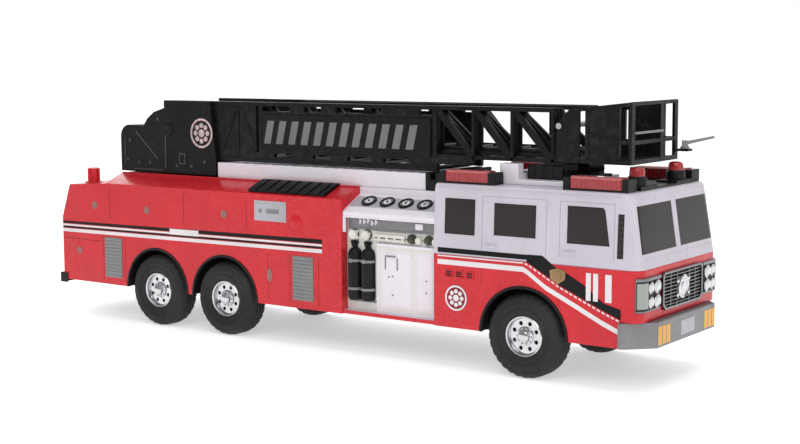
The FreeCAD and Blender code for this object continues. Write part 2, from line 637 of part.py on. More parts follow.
def make_cab():
    """Red lower shell with the front arches, white upper shell with window openings, and the panes."""
    low = prism("cab_low_outer", "z", [rectangle(d.cab_rear, d.cab_front, -d.body_side, d.body_side)],
                d.body_low, d.belt)
    low_round = rounded("cab_low_round", low, d.cab_corner, is_front_corner)
    inner = d.body_side - d.wall
    low_in = block("cab_low_in", (d.cab_rear + d.wall, d.cab_front - d.wall), (-inner, inner),
                   (d.body_low - d.cut_over, d.belt + d.cut_over))
    low_in_round = rounded("cab_low_in_round", low_in, d.cab_corner - d.wall, is_front_corner)
    low_shell = cut("cab_low_shell", low_round, [low_in_round])
    bumper_room = block("bumper_room", (d.bumper_rear, d.half_length), (-d.half_width, d.half_width),
                        (d.body_low - d.cut_over, d.bumper_high))
    keep("cab_lower", cut("cab_lower", low_shell, arch_tools(("front",)) + chassis_room() + [bumper_room]))

    outer = rounded("cab_up_round", cab_block("cab_up", 0, d.belt, d.roof), d.cab_corner, is_front_corner)
    outer = rounded("cab_up_soft", outer, d.roof_round, is_roof_edge)
    hollow = rounded("cab_in_round", cab_block("cab_in", d.wall, d.belt - d.cut_over, d.roof - d.wall),
                     d.cab_corner - d.wall, is_front_corner)
    sides = [prism(f"side_hole_{row}", "y", [loop], -d.half_width, d.half_width)
             for row, loop in enumerate(side_openings())]
    fronts = [prism(f"front_hole_{row}", "x", [loop], d.window_c_foot, d.half_length)
              for row, loop in enumerate(front_openings())]
    shell = cut("cab_up_shell", outer, [hollow])
    keep("cab_upper", cut("cab_upper", shell, sides + fronts))
    make_panes()


def make_panes():
    """Window panes set back a little in their openings, cut from one thin layer of the cab's wall."""
    near = rounded("glass_out", cab_block("glass_out_raw", d.glass_inset, d.belt, d.roof),
                   d.cab_corner - d.glass_inset, is_front_corner)
    deep = d.glass_inset + d.glass_skin
    far = rounded("glass_in", cab_block("glass_in_raw", deep, d.belt - d.cut_over, d.roof + d.cut_over),
                  d.cab_corner - deep, is_front_corner)
    layer = cut("glass_layer", near, [far])
    sides = fuse("side_loops", [prism(f"side_pane_{row}", "y", [loop], -d.half_width, 0)
                                for row, loop in enumerate(side_openings())])
    right = common("side_panes_right", layer, sides)
    keep("side_windows_right", right)
    keep("side_windows_left", mirrored("side_panes_left", right))
    fronts = gather("front_loops", [prism(f"front_pane_{row}", "x", [loop], d.window_c_foot, d.half_length)
                                    for row, loop in enumerate(front_openings())])
    keep("windscreen", common("windscreen", layer, fronts))


def make_front():
    """Bumper with cut-back corners, grille and headlamp clusters."""
    corner, inset = d.bumper_corner, d.wall

    def outline(step):
        side, nose = d.half_width - step, d.half_length - step
        bend = corner - step * (2 - math.sqrt(2))
        return [(d.bumper_rear, -side), (nose - bend, -side), (nose, bend - side),
                (nose, side - bend), (nose - bend, side), (d.bumper_rear, side)]

    solid = prism("bumper_outer", "z", [outline(0)], d.bumper_low, d.bumper_high)
    hollow = prism("bumper_inner", "z", [outline(inset)], d.bumper_low - d.cut_over,
                   d.bumper_high - inset)
    keep("front_bumper", cut("front_bumper", solid, [hollow]))
    keep("grille", block("grille", (d.cab_front, d.cab_front + d.grille_rise),
                         (-d.grille_half, d.grille_half), (d.grille_low, d.grille_high)))
    lamp = block("lamp_right", (d.cab_front, d.cab_front + d.lamp_rise), (-d.lamp_outer, -d.lamp_inner),
                 (d.lamp_low, d.lamp_high))
    back = prism("lamp_face", "z", [rectangle(d.cab_front - d.cab_corner, d.cab_front,
                                              -d.lamp_outer, -d.lamp_inner)], d.lamp_low, d.lamp_high)
    solid_cab = rounded("lamp_cab", block("lamp_cab_raw", (d.cab_rear, d.cab_front),
                                          (-d.body_side, d.body_side), (d.body_low, d.belt)),
                        d.cab_corner, is_front_corner)
    keep("headlamps", pair("headlamps", fuse("lamp", [lamp, cut("lamp_back", back, [solid_cab])])))


# ---------------------------------------------------------------- roof fittings

def make_light_bars():
    """Four long light bars: black bases with raised ends, red lenses between the ends."""
    bases, lenses = [], []
    for tag, rear, front in (("a", d.bar_a, d.bar_a_end), ("b", d.bar_b, d.bar_b_end)):
        seat, end, trim = d.roof + d.bar_base, d.bar_end, d.lens_trim
        crest = d.bar_top - trim
        outline = [(rear, d.roof), (front, d.roof), (front, crest), (front - end, crest),
                   (front - end, seat), (rear + end, seat), (rear + end, crest), (rear, crest)]
        bases.append(prism(f"bar_{tag}", "y", [outline], -d.bar_outer, -d.bar_inner))
        lens = block(f"lens_{tag}", (rear + end, front - end), (trim - d.bar_outer, -d.bar_inner - trim),
                     (seat, d.bar_top))
        lenses.append(lens)
    for node, pieces in (("light_bar_bases", bases), ("light_bar_lenses", lenses)):
        keep(node, gather(node, pieces + [mirrored(piece.Name + "_left", piece) for piece in pieces]))


def make_roof_fittings():
    """Ladder cradle with its white step, black rack with horns, and two red beacons on pedestals."""
    cradle = block("cradle_block", (d.cradle_rear, d.cradle_front), (-d.cradle_half, d.cradle_half),
                   (d.roof, d.cradle_top))
    step = block("roof_step", (d.cradle_front - d.wall, d.step_front), (-d.cradle_half, d.cradle_half),
                 (d.roof, d.step_top))
    bed = block("cradle_room", (d.cradle_rear - d.cut_over, d.cradle_front + d.cut_over),
                (-d.cradle_ear, d.cradle_ear), (d.cradle_bed, d.cradle_top + d.cut_over))
    keep("ladder_cradle", cut("ladder_cradle", fuse("cradle_sum", [cradle, step]), [bed]))

    across = (-d.rack_half, d.rack_half)
    high = block("rack_high", (d.rack_rear, d.step_front + d.rack_skin), across,
                 (d.step_top, d.step_top + d.rack_skin))
    riser = block("rack_riser", (d.step_front, d.step_front + d.rack_skin), across,
                  (d.roof, d.step_top + d.rack_skin))
    low = block("rack_low", (d.step_front, d.rack_front), across, (d.roof, d.roof + d.rack_skin))
    horn = block("horn_right", (d.rack_rear, d.horn_front), (-d.horn_half, -d.horn_inner),
                 (d.step_top, d.horn_top))
    pad = block("pad_right", (d.rack_pad, d.rack_front), (-d.pad_outer, -d.pad_inner), (d.roof, d.pad_top))
    spot = (d.beacon_mid, -d.beacon_off)
    pedestal = rod("pedestal_right", "z", spot, d.pedestal_radius, d.roof, d.pedestal_top)
    side = fuse("rack_side", [horn, pad, pedestal])
    keep("roof_rack", fuse("roof_rack", [high, riser, low, side, mirrored("rack_side_left", side)]))
    beacon = rod("beacon_right", "z", spot, d.beacon_radius, d.pedestal_top, d.beacon_top)
    soft = rounded("beacon_soft", beacon, d.beacon_round,
                   lambda point, edge: abs(point.z - SIZES["beacon_top"]) < NEAR
                   and edge.Curve.TypeId == "Part::GeomCircle")
    keep("beacons", pair("beacons", soft))


# ---------------------------------------------------------------- turret

def make_turret():
    """Turning base on a ring, two cheeks carrying the elevation pin, and a rounded hood behind."""
    centre = (d.turret_axis, 0)
    ring = rod("ring_disc", "z", centre, d.ring_radius, d.main_top, d.ring_top)
    keep("turret_ring", cut("turret_ring", ring, [rod("ring_hole", "z", centre,
                                                      d.turret_hub + d.bearing_gap,
                                                      d.console_low, d.roof)]))
    floor = block("turret_plate", (d.turret_rear, d.turret_front), (-d.cheek_inner, d.cheek_inner),
                  (d.turret_low, d.turret_floor))
    hub = rod("turret_hub_disc", "z", centre, d.turret_hub, d.hub_low, d.turret_floor)
    way = rod("turret_way", "z", centre, d.hub_bore, d.hub_low - d.cut_over, d.turret_floor + d.cut_over)
    keep("turret_base", cut("turret_base", fuse("turret_sum", [floor, hub]), [way]))
    disc = rod("washer_disc", "z", centre, d.washer_radius, d.washer_low, d.washer_low + d.washer_skin)
    keep("turret_washer", cut("turret_washer", disc, [rod("washer_hole", "z", centre, d.turret_hub,
                                                          d.hub_low, d.roof)]))
    outline = [(d.turret_rear, d.turret_low), (d.turret_front, d.turret_low),
               (d.turret_front, d.plate_low), (d.turret_front - d.cheek_slant, d.ladder_top),
               (d.crown_rear, d.ladder_top), (d.crown_rear, d.crown_low),
               (d.bend_along, d.bend_high), (d.bend_foot, d.bend_foot_high),
               (d.hood_front, d.hood_top), (d.turret_rear, d.hood_top)]
    plate = prism("cheek_plate", "y", [outline], -d.turret_half, -d.cheek_inner)
    plate = rounded("cheek_soft", plate, d.hood_round, is_hood_corner)
    hole = rod("cheek_hole", "y", (d.turret_axis, d.pivot_height), d.pin_radius,
               -d.half_width, -d.cheek_inner + d.cut_over)
    cheek = cut("cheek_right", plate, [hole])
    keep("turret_cheek_right", cheek)
    keep("turret_cheek_left", mirrored("cheek_left", cheek))
    skin = d.wall
    outer = prism("hood_outer", "y", [rectangle(d.turret_rear, d.hood_front, d.turret_floor, d.hood_top)],
                  -d.cheek_inner, d.cheek_inner)
    outer = rounded("hood_soft", outer, d.hood_round, is_hood_corner)
    inner = prism("hood_inner", "y", [rectangle(d.turret_rear + skin, d.hood_front + skin,
                                                d.turret_floor - skin, d.hood_top - skin)],
                  -d.half_width, d.half_width)
    inner = rounded("hood_inner_soft", inner, d.hood_round - skin, is_hood_corner)
    keep("turret_hood", cut("turret_hood", outer, [inner]))
    pin = rod("elevation_rod", "y", (d.turret_axis, d.pivot_height), d.pin_radius, -d.pin_out, d.pin_out)
    heads = [rod("pin_head_" + word, "y", (d.turret_axis, d.pivot_height), d.pin_head, low, high)
             for word, low, high in (("right", -d.pin_out, -d.turret_half),
                                     ("left", d.turret_half, d.pin_out))]
    keep("elevation_pin", fuse("elevation_pin", [pin] + heads))


def is_hood_corner(point, edge):
    """The one edge at the turret's upper rear corner."""
    return (point.x < SIZES["turret_rear"] + SIZES["wall"] + NEAR
            and point.z > SIZES["hood_top"] - SIZES["wall"] - NEAR and edge.BoundBox.YLength > NEAR)


# ---------------------------------------------------------------- ladder

def truss_holes(start, end, low, high, count):
    """Two triangular openings in each cell, either side of a brace from top rear to bottom front."""
    pitch = (end - start) / count
    loops = []
    for cell in range(count):
        rear = start + pitch * cell
        front = start + pitch * (cell + 1) - d.post
        loops.append([(rear, low), (front - d.brace, low), (rear, high - d.brace)])
        loops.append([(rear + d.brace, high), (front, low + d.brace), (front, high)])
    return loops


def ladder_section(name, outer, inner, rear, front, low, top, cells):
    """A trussed side frame on each side joined by rungs at the bottom."""
    holes = truss_holes(rear + d.post, front, low + d.rail, top - d.rail, cells)
    side = prism(name + "_frame", "y", [rectangle(rear, front, low, top)] + holes, -outer, -inner)
    rungs = []
    for row in range(cells + 1):
        along = rear + (front - rear - d.rung) * row / cells
        rungs.append(block(f"{name}_rung_{row}", (along, along + d.rung), (-inner, inner),
                           (low, low + d.rung)))
    return side, rungs


def make_ladder_base():
    """The outer section: solid round the pivot, name plates, then an open truss over the cab."""
    outline = [(d.turret_axis, d.plate_low), (d.plate_end, d.plate_low), (d.plate_end, d.mid_low),
               (d.mid_low_end, d.mid_low), (d.mid_low_end, d.truss_low), (d.base_front, d.truss_low),
               (d.base_front, d.ladder_top), (d.turret_axis, d.ladder_top)]
    loops = [outline, rectangle(d.slit_rear, d.slit_front, d.foot_high, d.head_high)]
    loops += truss_holes(d.plate_end, d.base_front, d.truss_low + d.rail, d.ladder_top - d.rail,
                         BASE_CELLS)
    for edge, low, high in (("foot", d.foot_low, d.foot_high), ("head", d.head_low, d.head_high)):
        for row in SLOTS:
            rear, front = getattr(d, f"{edge}_{row}"), getattr(d, f"{edge}_{row}_end")
            loops.append(rectangle(rear, front, low, high))
    frame = prism("base_frame", "y", loops, -d.base_outer, -d.base_inner)
    boss = rod("base_boss", "y", (d.turret_axis, d.pivot_height), d.pivot_reach,
               -d.base_outer, -d.base_inner)
    hole = rod("base_pin_hole", "y", (d.turret_axis, d.pivot_height), d.pin_radius + d.bearing_gap,
               -d.half_width, -d.base_inner + d.cut_over)
    side = cut("base_side", fuse("base_side_sum", [frame, boss]), [hole])
    rungs = []
    for row in range(LOW_RUNGS):
        along = d.cheek_clear + d.rung_pitch * row
        rungs.append(block(f"base_rung_{row}", (along, along + d.rung), (-d.base_inner, d.base_inner),
                           (d.plate_low, d.plate_low + d.rung)))
    for row in range(HIGH_RUNGS):
        along = d.mid_low_end + (d.base_front - d.mid_low_end - d.rung) * row / (HIGH_RUNGS - 1)
        rungs.append(block(f"base_high_rung_{row}", (along, along + d.rung),
                           (-d.base_inner, d.base_inner), (d.truss_low, d.truss_low + d.rung)))
    keep("ladder_base_section", fuse("ladder_base_section",
                                     [side, mirrored("base_side_left", side)] + rungs))
    plate = block("name_plate", (d.name_rear, d.name_front), (-d.base_outer - d.name_rise, -d.base_outer),
                  (d.name_low, d.name_high))
    keep("name_plates", pair("name_plates", plate))


def make_inner_sections():
    """The middle section slides in the base section, and the tip section in the middle one."""
    side, rungs = ladder_section("second", d.second_outer, d.second_inner, d.second_rear,
                                 d.second_front, d.second_low, d.second_top, SECTION_CELLS)
    keep("ladder_middle_section", fuse("ladder_middle_section",
                                       [side, mirrored("second_left", side)] + rungs))
    side, rungs = ladder_section("third", d.third_outer, d.third_inner, d.third_rear,
                                 d.third_front, d.third_low, d.third_top, SECTION_CELLS)
    pivot = (d.bucket_axis, d.bucket_pivot)
    lug = rod("tip_lug", "y", pivot, d.lug_radius, -d.third_outer, -d.third_inner)
    neck = block("tip_neck", (d.third_front - d.post, d.bucket_axis), (-d.third_outer, -d.third_inner),
                 (d.bucket_pivot - d.lug_radius, d.bucket_pivot + d.lug_radius))
    hole = rod("tip_hole", "y", pivot, d.bucket_pin, -d.half_width, d.half_width)
    frame = cut("tip_side", fuse("tip_side_sum", [side, lug, neck]), [hole])
    keep("ladder_tip_section", fuse("ladder_tip_section", [frame, mirrored("tip_left", frame)] + rungs))
    keep("bucket_pin", rod("bucket_pin", "y", pivot, d.bucket_pin, -d.bucket_pin_out, d.bucket_pin_out))


# ---------------------------------------------------------------- bucket and nozzle

def bucket_top(along):
    """Height of the bucket's sloping top edge at a place along it."""
    rise = (d.total_height - d.bucket_rear_top) / (d.bucket_front - d.arm_top_rear)
    return d.bucket_rear_top + (along - d.arm_top_rear) * rise


def make_bucket():
    """Two side plates with the ladder arms in one, and a floor with front and rear frames."""
    rail, post = d.bucket_rail, d.bucket_post
    outline = [(d.arm_rear, d.bucket_low + rail), (d.arm_rear + rail, d.bucket_low),
               (d.bucket_front, d.bucket_low), (d.bucket_front, d.total_height),
               (d.arm_top_rear, d.bucket_rear_top), (d.arm_shoulder, d.arm_shoulder_top),
               (d.arm_rear, d.bucket_pivot)]
    slot_end = d.panel_rear
    slot = [(d.slot_start, d.slot_foot), (slot_end, d.slot_foot),
            (slot_end, bucket_top(slot_end) - rail), (d.slot_start, bucket_top(d.slot_start) - rail)]
    gap = rectangle(d.slot_start, slot_end, d.gap_foot, d.gap_head)
    window_end = d.bucket_front - post
    upper = [(d.panel_front, d.bucket_mid_rail + rail), (window_end, d.bucket_mid_rail + rail),
             (window_end, bucket_top(window_end) - rail),
             (d.panel_front, bucket_top(d.panel_front) - rail)]
    lower = rectangle(d.panel_front, window_end, d.bucket_low + rail, d.bucket_mid_rail)
    side = prism("bucket_plate", "y", [outline, slot, gap, upper, lower],
                 -d.bucket_outer, -d.bucket_inner)
    hole = rod("arm_hole", "y", (d.bucket_axis, d.bucket_pivot), d.bucket_pin + d.bearing_gap,
               -d.half_width, d.half_width)
    keep("bucket_sides", pair("bucket_sides", cut("bucket_side", side, [hole])))

    inner = d.bucket_inner
    floor = prism("bucket_floor_plate", "y", [[
        (d.panel_rear + d.bucket_cut, d.bucket_low), (d.bucket_front, d.bucket_low),
        (d.bucket_front, d.bucket_low + d.bucket_floor_skin),
        (d.panel_rear + d.bucket_cut, d.bucket_low + d.bucket_floor_skin),
        (d.panel_rear + post, d.bucket_low + d.bucket_cut + d.bucket_floor_skin),
        (d.panel_rear + post, d.bucket_rear_top), (d.panel_rear, d.bucket_rear_top),
        (d.panel_rear, d.bucket_low + d.bucket_cut)]], -inner, inner)
    window = block("rear_window", (d.panel_rear - d.cut_over, d.panel_rear + post + d.cut_over),
                   (rail * 2 - inner, inner - rail * 2),
                   (d.bucket_mid_rail, d.bucket_rear_top - rail))
    front_end = d.bucket_front - post
    front_loops = [rectangle(-inner, inner, d.bucket_low + d.bucket_floor_skin, d.total_height)]
    gate, far = d.gate_half, d.bucket_inner - rail
    for low, high in ((d.bucket_low + d.bucket_floor_skin + d.lens_trim, d.bucket_mid_rail),
                      (d.bucket_mid_rail + rail, d.total_height - rail)):
        front_loops.append(rectangle(rail - inner, gate - rail, low, high))
        front_loops.append(rectangle(gate + rail, far, low, high))
    front = prism("bucket_front_frame", "x", front_loops, front_end, d.bucket_front)
    shelf = block("nozzle_shelf", (d.bucket_front, d.shelf_front), (inner, d.shelf_left),
                  (d.shelf_low, d.shelf_high))
    neck = block("shelf_neck", (front_end, d.bucket_front), (inner - rail, inner),
                 (d.shelf_low, d.shelf_high))
    foot = block("shelf_foot", (d.bucket_front, d.bucket_front + post), (inner - rail * 2, inner),
                 (d.shelf_low, d.shelf_high))
    peg_hole = rod("peg_hole", "z", (d.nozzle_along, d.nozzle_across), d.peg_radius + d.bearing_gap,
                   d.bucket_low, d.total_height)
    shell = cut("bucket_tray", fuse("bucket_sum", [floor, front, shelf, neck, foot]), [window, peg_hole])
    keep("bucket_floor", shell)


def make_nozzle():
    """A swivel pegged through the shelf, and a tapered barrel tilting between its two ears."""
    base = rod("swivel_disc", "z", (0, 0), d.swivel_radius, 0, d.swivel_skin)
    peg = rod("swivel_peg", "z", (0, 0), d.peg_radius, d.shelf_low - d.shelf_high, 0)
    pivot_up = d.trunnion_up
    ears = []
    for word, low, high in (("right", -d.ear_outer, -d.ear_inner), ("left", d.ear_inner, d.ear_outer)):
        plate = block("ear_" + word, (-d.ear_half, d.ear_half), (low, high),
                      (0, pivot_up + d.ear_half))
        ears.append(plate)
    hole = rod("ear_hole", "y", (0, pivot_up), d.trunnion_radius + d.bearing_gap,
               -d.swivel_radius, d.swivel_radius)
    swivel = cut("nozzle_swivel", fuse("swivel_sum", [base, peg] + ears), [hole])
    turn = FreeCAD.Rotation(FreeCAD.Vector(0, 0, 1), SIZES["nozzle_yaw"])
    lift = d.fit_gap / 2
    keep("nozzle_swivel", place(swivel, d.nozzle_along, d.nozzle_across, d.shelf_high + lift, turn))

    root = rod("barrel_root_disc", "y", (0, 0), d.barrel_root,
               d.fit_gap - d.ear_inner, d.ear_inner - d.fit_gap)
    pin = rod("barrel_pin", "y", (0, 0), d.trunnion_radius, -d.ear_outer, d.ear_outer)
    tube = doc.addObject("Part::Cone", "barrel_tube")
    bind(tube, "Radius1", d.ear_inner - d.fit_gap)
    bind(tube, "Radius2", d.barrel_tip)
    bind(tube, "Height", d.barrel_length)
    place(tube, 0, 0, 0, TURNS["x"])
    barrel = fuse("nozzle_barrel", [root, pin, tube])
    aim = FreeCAD.Rotation(SIZES["nozzle_yaw"], -SIZES["nozzle_pitch"], 0)
    keep("nozzle_barrel", place(barrel, d.nozzle_along, d.nozzle_across,
                                d.shelf_high + lift + pivot_up, aim))


# ---------------------------------------------------------------- pump

def make_pump():
    """Water tank with the pump barrel moulded on, the knob that is pressed, and its spring."""
    spot = (d.knob_along, d.knob_across)
    tank = block("tank_block", (d.tank_rear, d.tank_front), (d.tank_right, d.tank_left),
                 (d.tank_low, d.tank_high))
    tube = rod("pump_tube", "z", spot, d.barrel_outer, d.barrel_low, d.deck_rear_top - d.wall)
    pipe = rod("tank_pipe", "y", (d.knob_along, d.pipe_height), d.pipe_radius,
               d.knob_across, d.tank_right + d.tank_skin)
    skin = d.tank_skin
    room = block("tank_room", (d.tank_rear + skin, d.tank_front - skin),
                 (d.tank_right + skin, d.tank_left - skin), (d.tank_low + skin, d.tank_high - skin))
    bore = rod("pump_bore", "z", spot, d.barrel_bore, d.barrel_floor, d.main_top)
    keep("water_tank", cut("water_tank", fuse("tank_sum", [tank, tube, pipe]), [room, bore]))
    stem = rod("knob_stem", "z", spot, d.knob_radius, d.flange_low, d.knob_top)
    flange = rod("knob_flange", "z", spot, d.flange_radius, d.flange_low, d.flange_high)
    keep("pump_knob", fuse("pump_knob", [stem, flange]))

    helix = doc.addObject("Part::Helix", "spring_line")
    tall = d.flange_low - d.barrel_floor - d.spring_wire * 2 - d.fit_gap
    bind(helix, "Radius", d.spring_radius)
    bind(helix, "Height", tall)
    bind(helix, "Pitch", tall / d.spring_turns)
    wire = doc.addObject("Part::Circle", "spring_wire_ring")
    bind(wire, "Radius", d.spring_wire)
    place(wire, d.spring_radius, 0, 0, DOWN)
    coil = doc.addObject("Part::Sweep", "pump_spring")
    coil.Sections = [wire]
    coil.Spine = (helix, ["Edge1"])
    coil.Solid = True
    coil.Frenet = True
    doc.recompute()
    keep("pump_spring", place(coil, *spot, d.barrel_floor + d.spring_wire + d.fit_gap / 2))


# ---------------------------------------------------------------- build, check and write

def make_all():
    make_sheet()
    make_chassis()
    make_inner_pieces()
    make_rear_body()
    make_body_trim()
    make_deck()
    make_console()
    make_cab()
    make_front()
    make_light_bars()
    make_roof_fittings()
    for name, along in AXLES.items():
        make_axle_set(name, along)
    make_turret()
    make_ladder_base()
    make_inner_sections()
    make_bucket()
    make_nozzle()
    make_pump()


def faults():
    """Objects that failed to recompute, and sub-parts with no valid solid."""
    found = [f"{item.Name} is {item.State}" for item in doc.Objects
             if "Invalid" in item.State or "Error" in item.State]
    for piece in parts:
        shape = piece.Shape
        if shape.isNull() or not shape.isValid() or not shape.Solids:
            found.append(f"{piece.Label} has no valid solid")
    return found


def main():
    make_all()
    doc.recompute()
    problems = faults()
    if problems:
        print("\n".join(problems))
        sys.exit(1)
    os.makedirs("parts", exist_ok=True)
    for piece in parts:
        piece.Shape.exportStep(os.path.join("parts", piece.Label + ".step"))
    print(f"{len(parts)} sub-parts written")


main()
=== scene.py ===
"""Looks for the toy fire engine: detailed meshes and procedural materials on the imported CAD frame.
Shapes are drawn in millimetres in the CAD frame (+X forward, -Y the toy's right, +Z up)."""

import json
import math

import bmesh
import bpy
from mathutils import Matrix, Vector

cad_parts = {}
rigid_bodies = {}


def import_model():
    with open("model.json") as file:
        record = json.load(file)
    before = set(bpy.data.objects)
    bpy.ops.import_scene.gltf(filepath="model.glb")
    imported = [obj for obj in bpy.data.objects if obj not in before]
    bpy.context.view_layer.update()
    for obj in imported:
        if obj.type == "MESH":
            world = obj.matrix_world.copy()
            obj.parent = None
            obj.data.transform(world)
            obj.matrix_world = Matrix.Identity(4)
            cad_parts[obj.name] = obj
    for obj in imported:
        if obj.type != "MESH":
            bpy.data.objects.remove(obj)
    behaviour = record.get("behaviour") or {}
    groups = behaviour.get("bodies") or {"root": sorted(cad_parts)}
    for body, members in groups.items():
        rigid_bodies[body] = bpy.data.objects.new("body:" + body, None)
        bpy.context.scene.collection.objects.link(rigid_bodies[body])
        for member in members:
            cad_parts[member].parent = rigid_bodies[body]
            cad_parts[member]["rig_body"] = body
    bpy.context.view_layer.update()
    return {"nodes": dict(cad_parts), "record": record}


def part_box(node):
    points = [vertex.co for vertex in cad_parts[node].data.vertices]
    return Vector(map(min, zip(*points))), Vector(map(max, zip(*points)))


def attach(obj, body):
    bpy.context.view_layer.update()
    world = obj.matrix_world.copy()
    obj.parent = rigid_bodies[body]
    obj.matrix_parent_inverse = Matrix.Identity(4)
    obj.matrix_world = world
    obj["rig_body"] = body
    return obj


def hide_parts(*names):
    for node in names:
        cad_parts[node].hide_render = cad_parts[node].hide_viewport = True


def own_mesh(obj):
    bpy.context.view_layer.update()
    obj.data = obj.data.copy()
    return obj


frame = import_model()
nodes = frame["nodes"]

MM = 0.001
RIGHT, LEFT = -1, 1
SKIN = 0.25          # how far a printed decal stands off the surface it is on
BODY_SIDE = 86.0
AXLES = {"front": 262.0, "middle": -124.0, "rear": -229.0}
AXLE_HEIGHT = 41.5
ARCH = 47.0
BUMPER_FACE = 393.1


# ---------------------------------------------------------------- materials

def link(tree, start, end):
    tree.links.new(start, end)


def noise(tree, coords, scale, detail=3.0, rough=0.5):
    node = tree.nodes.new("ShaderNodeTexNoise")
    node.inputs["Scale"].default_value = scale
    node.inputs["Detail"].default_value = detail
    node.inputs["Roughness"].default_value = rough
    link(tree, coords, node.inputs["Vector"])
    return node.outputs["Fac"]


def spread(tree, value, low, high, start=0.3, end=0.7):
    """Maps a noise value from start..end to low..high."""
    node = tree.nodes.new("ShaderNodeMapRange")
    for key, number in (("From Min", start), ("From Max", end), ("To Min", low), ("To Max", high)):
        node.inputs[key].default_value = number
    link(tree, value, node.inputs["Value"])
    return node.outputs["Result"]


def mixed(tree, factor, one, two, how="MIX"):
    node = tree.nodes.new("ShaderNodeMix")
    node.data_type = "RGBA"
    node.blend_type = how
    if isinstance(factor, float):
        node.inputs[0].default_value = factor
    else:
        link(tree, factor, node.inputs[0])
    for socket, colour in ((node.inputs[6], one), (node.inputs[7], two)):
        if isinstance(colour, tuple):
            socket.default_value = (*colour, 1.0)
        else:
            link(tree, colour, socket)
    return node.outputs[2]


def surface(name, colour, rough, metal=0.0, coat=0.0, vary=0.1, patch=22.0, grain=1600.0, bump=0.04,
            wear=0.25, worn=None, specular=0.5, brushed=False):
    """Moulded or plated surface: patchy tone, uneven gloss, fine grain, and paler worn edges."""
    material = bpy.data.materials.new(name)
    material.use_nodes = True
    tree = material.node_tree
    shader = tree.nodes["Principled BSDF"]
    coords = tree.nodes.new("ShaderNodeTexCoord").outputs["Object"]
    if brushed:
        squeeze = tree.nodes.new("ShaderNodeMapping")
        squeeze.inputs["Scale"].default_value = (1.0, 0.04, 1.0)
        link(tree, coords, squeeze.inputs["Vector"])
        coords = squeeze.outputs["Vector"]
    patches = noise(tree, coords, patch)
    dark = tuple(channel * (1.0 - vary) for channel in colour)
    pale = tuple(min(1.0, channel * (1.0 + vary)) for channel in colour)
    tone = mixed(tree, spread(tree, patches, 0.0, 1.0), dark, pale)
    if wear:
        geometry = tree.nodes.new("ShaderNodeNewGeometry")
        edges = spread(tree, geometry.outputs["Pointiness"], 0.0, wear, 0.52, 0.62)
        chips = spread(tree, noise(tree, coords, patch * 12), 0.0, 1.0, 0.42, 0.62)
        product = tree.nodes.new("ShaderNodeMath")
        product.operation = "MULTIPLY"
        link(tree, edges, product.inputs[0])
        link(tree, chips, product.inputs[1])
        tone = mixed(tree, product.outputs[0], tone, worn or tuple(min(1.0, c + 0.25) for c in colour))
    link(tree, tone, shader.inputs["Base Color"])
    gloss = noise(tree, coords, patch * 4, 4.0)
    link(tree, spread(tree, gloss, rough * 0.8, min(1.0, rough * 1.3)), shader.inputs["Roughness"])
    shader.inputs["Metallic"].default_value = metal
    shader.inputs["Specular IOR Level"].default_value = specular
    if coat:
        shader.inputs["Coat Weight"].default_value = coat
        shader.inputs["Coat Roughness"].default_value = 0.08
    lift = tree.nodes.new("ShaderNodeBump")
    lift.inputs["Strength"].default_value = bump
    lift.inputs["Distance"].default_value = 0.0004
    link(tree, noise(tree, coords, grain, 2.0), lift.inputs["Height"])
    link(tree, lift.outputs["Normal"], shader.inputs["Normal"])
    return material


RED = surface("red_gloss", (0.62, 0.012, 0.022), 0.28, coat=0.15, vary=0.07, specular=0.3,
              worn=(0.75, 0.16, 0.15))
WHITE = surface("white_gloss", (0.84, 0.79, 0.86), 0.32, coat=0.2, vary=0.04, worn=(0.66, 0.63, 0.69))
# a darker copy of the same white plastic as WHITE: the shade on the cab's sides is painted into it
SHADED_CAB_WHITE = surface("cab_white_painted_shade", (0.60, 0.56, 0.63), 0.32, coat=0.15, vary=0.05,
                    worn=(0.52, 0.50, 0.55))
CREAM = surface("cream_gloss", (0.74, 0.73, 0.68), 0.34, vary=0.08, worn=(0.6, 0.58, 0.52))
BLACK = surface("black_satin", (0.006, 0.006, 0.007), 0.40, vary=0.25, specular=0.22,
                worn=(0.05, 0.05, 0.055))
LADDER = surface("ladder_black", (0.007, 0.007, 0.008), 0.34, vary=0.3, patch=16, specular=0.16,
                 worn=(0.06, 0.06, 0.065))
RUBBER = surface("tyre_rubber", (0.024, 0.023, 0.024), 0.60, vary=0.3, grain=2600, bump=0.12,
                 specular=0.25, worn=(0.06, 0.06, 0.06))
CHROME = surface("chrome_plate", (0.62, 0.62, 0.64), 0.14, metal=1.0, vary=0.05, bump=0.03, wear=0.0)
DARK_CHROME = surface("dark_chrome", (0.20, 0.21, 0.22), 0.22, metal=1.0, vary=0.12, wear=0.0)
STEEL = surface("steel_rod", (0.52, 0.52, 0.54), 0.32, metal=1.0, vary=0.1, wear=0.0, brushed=True)
SILVER = surface("silver_plastic", (0.22, 0.215, 0.225), 0.40, metal=0.35, vary=0.12,
                 worn=(0.42, 0.42, 0.44))
DARK_GREY = surface("dark_grey_print", (0.045, 0.045, 0.048), 0.45, vary=0.2, wear=0.0)
LATCH = surface("latch_grey", (0.30, 0.16, 0.15), 0.45, vary=0.12)
# painted highlight: paler red laid along the tops of the light-bar lenses
LENS_GLINT_PAINT = surface("lens_trim", (0.52, 0.14, 0.15), 0.3, vary=0.1)
GREY = surface("grey_plastic", (0.21, 0.21, 0.22), 0.50, vary=0.1, worn=(0.36, 0.36, 0.37))
PALE_GREY = surface("pale_grey", (0.42, 0.42, 0.46), 0.45, vary=0.08)
DIAL = surface("dial_face", (0.02, 0.022, 0.035), 0.30, vary=0.2, wear=0.0)
LENS = surface("red_lens", (0.36, 0.008, 0.014), 0.16, coat=0.6, vary=0.15, worn=(0.6, 0.14, 0.13))
PANE = surface("dark_pane", (0.030, 0.025, 0.026), 0.18, vary=0.12, specular=0.28, wear=0.0)
GASKET = surface("pane_gasket", (0.03, 0.028, 0.03), 0.6, vary=0.15, wear=0.0)
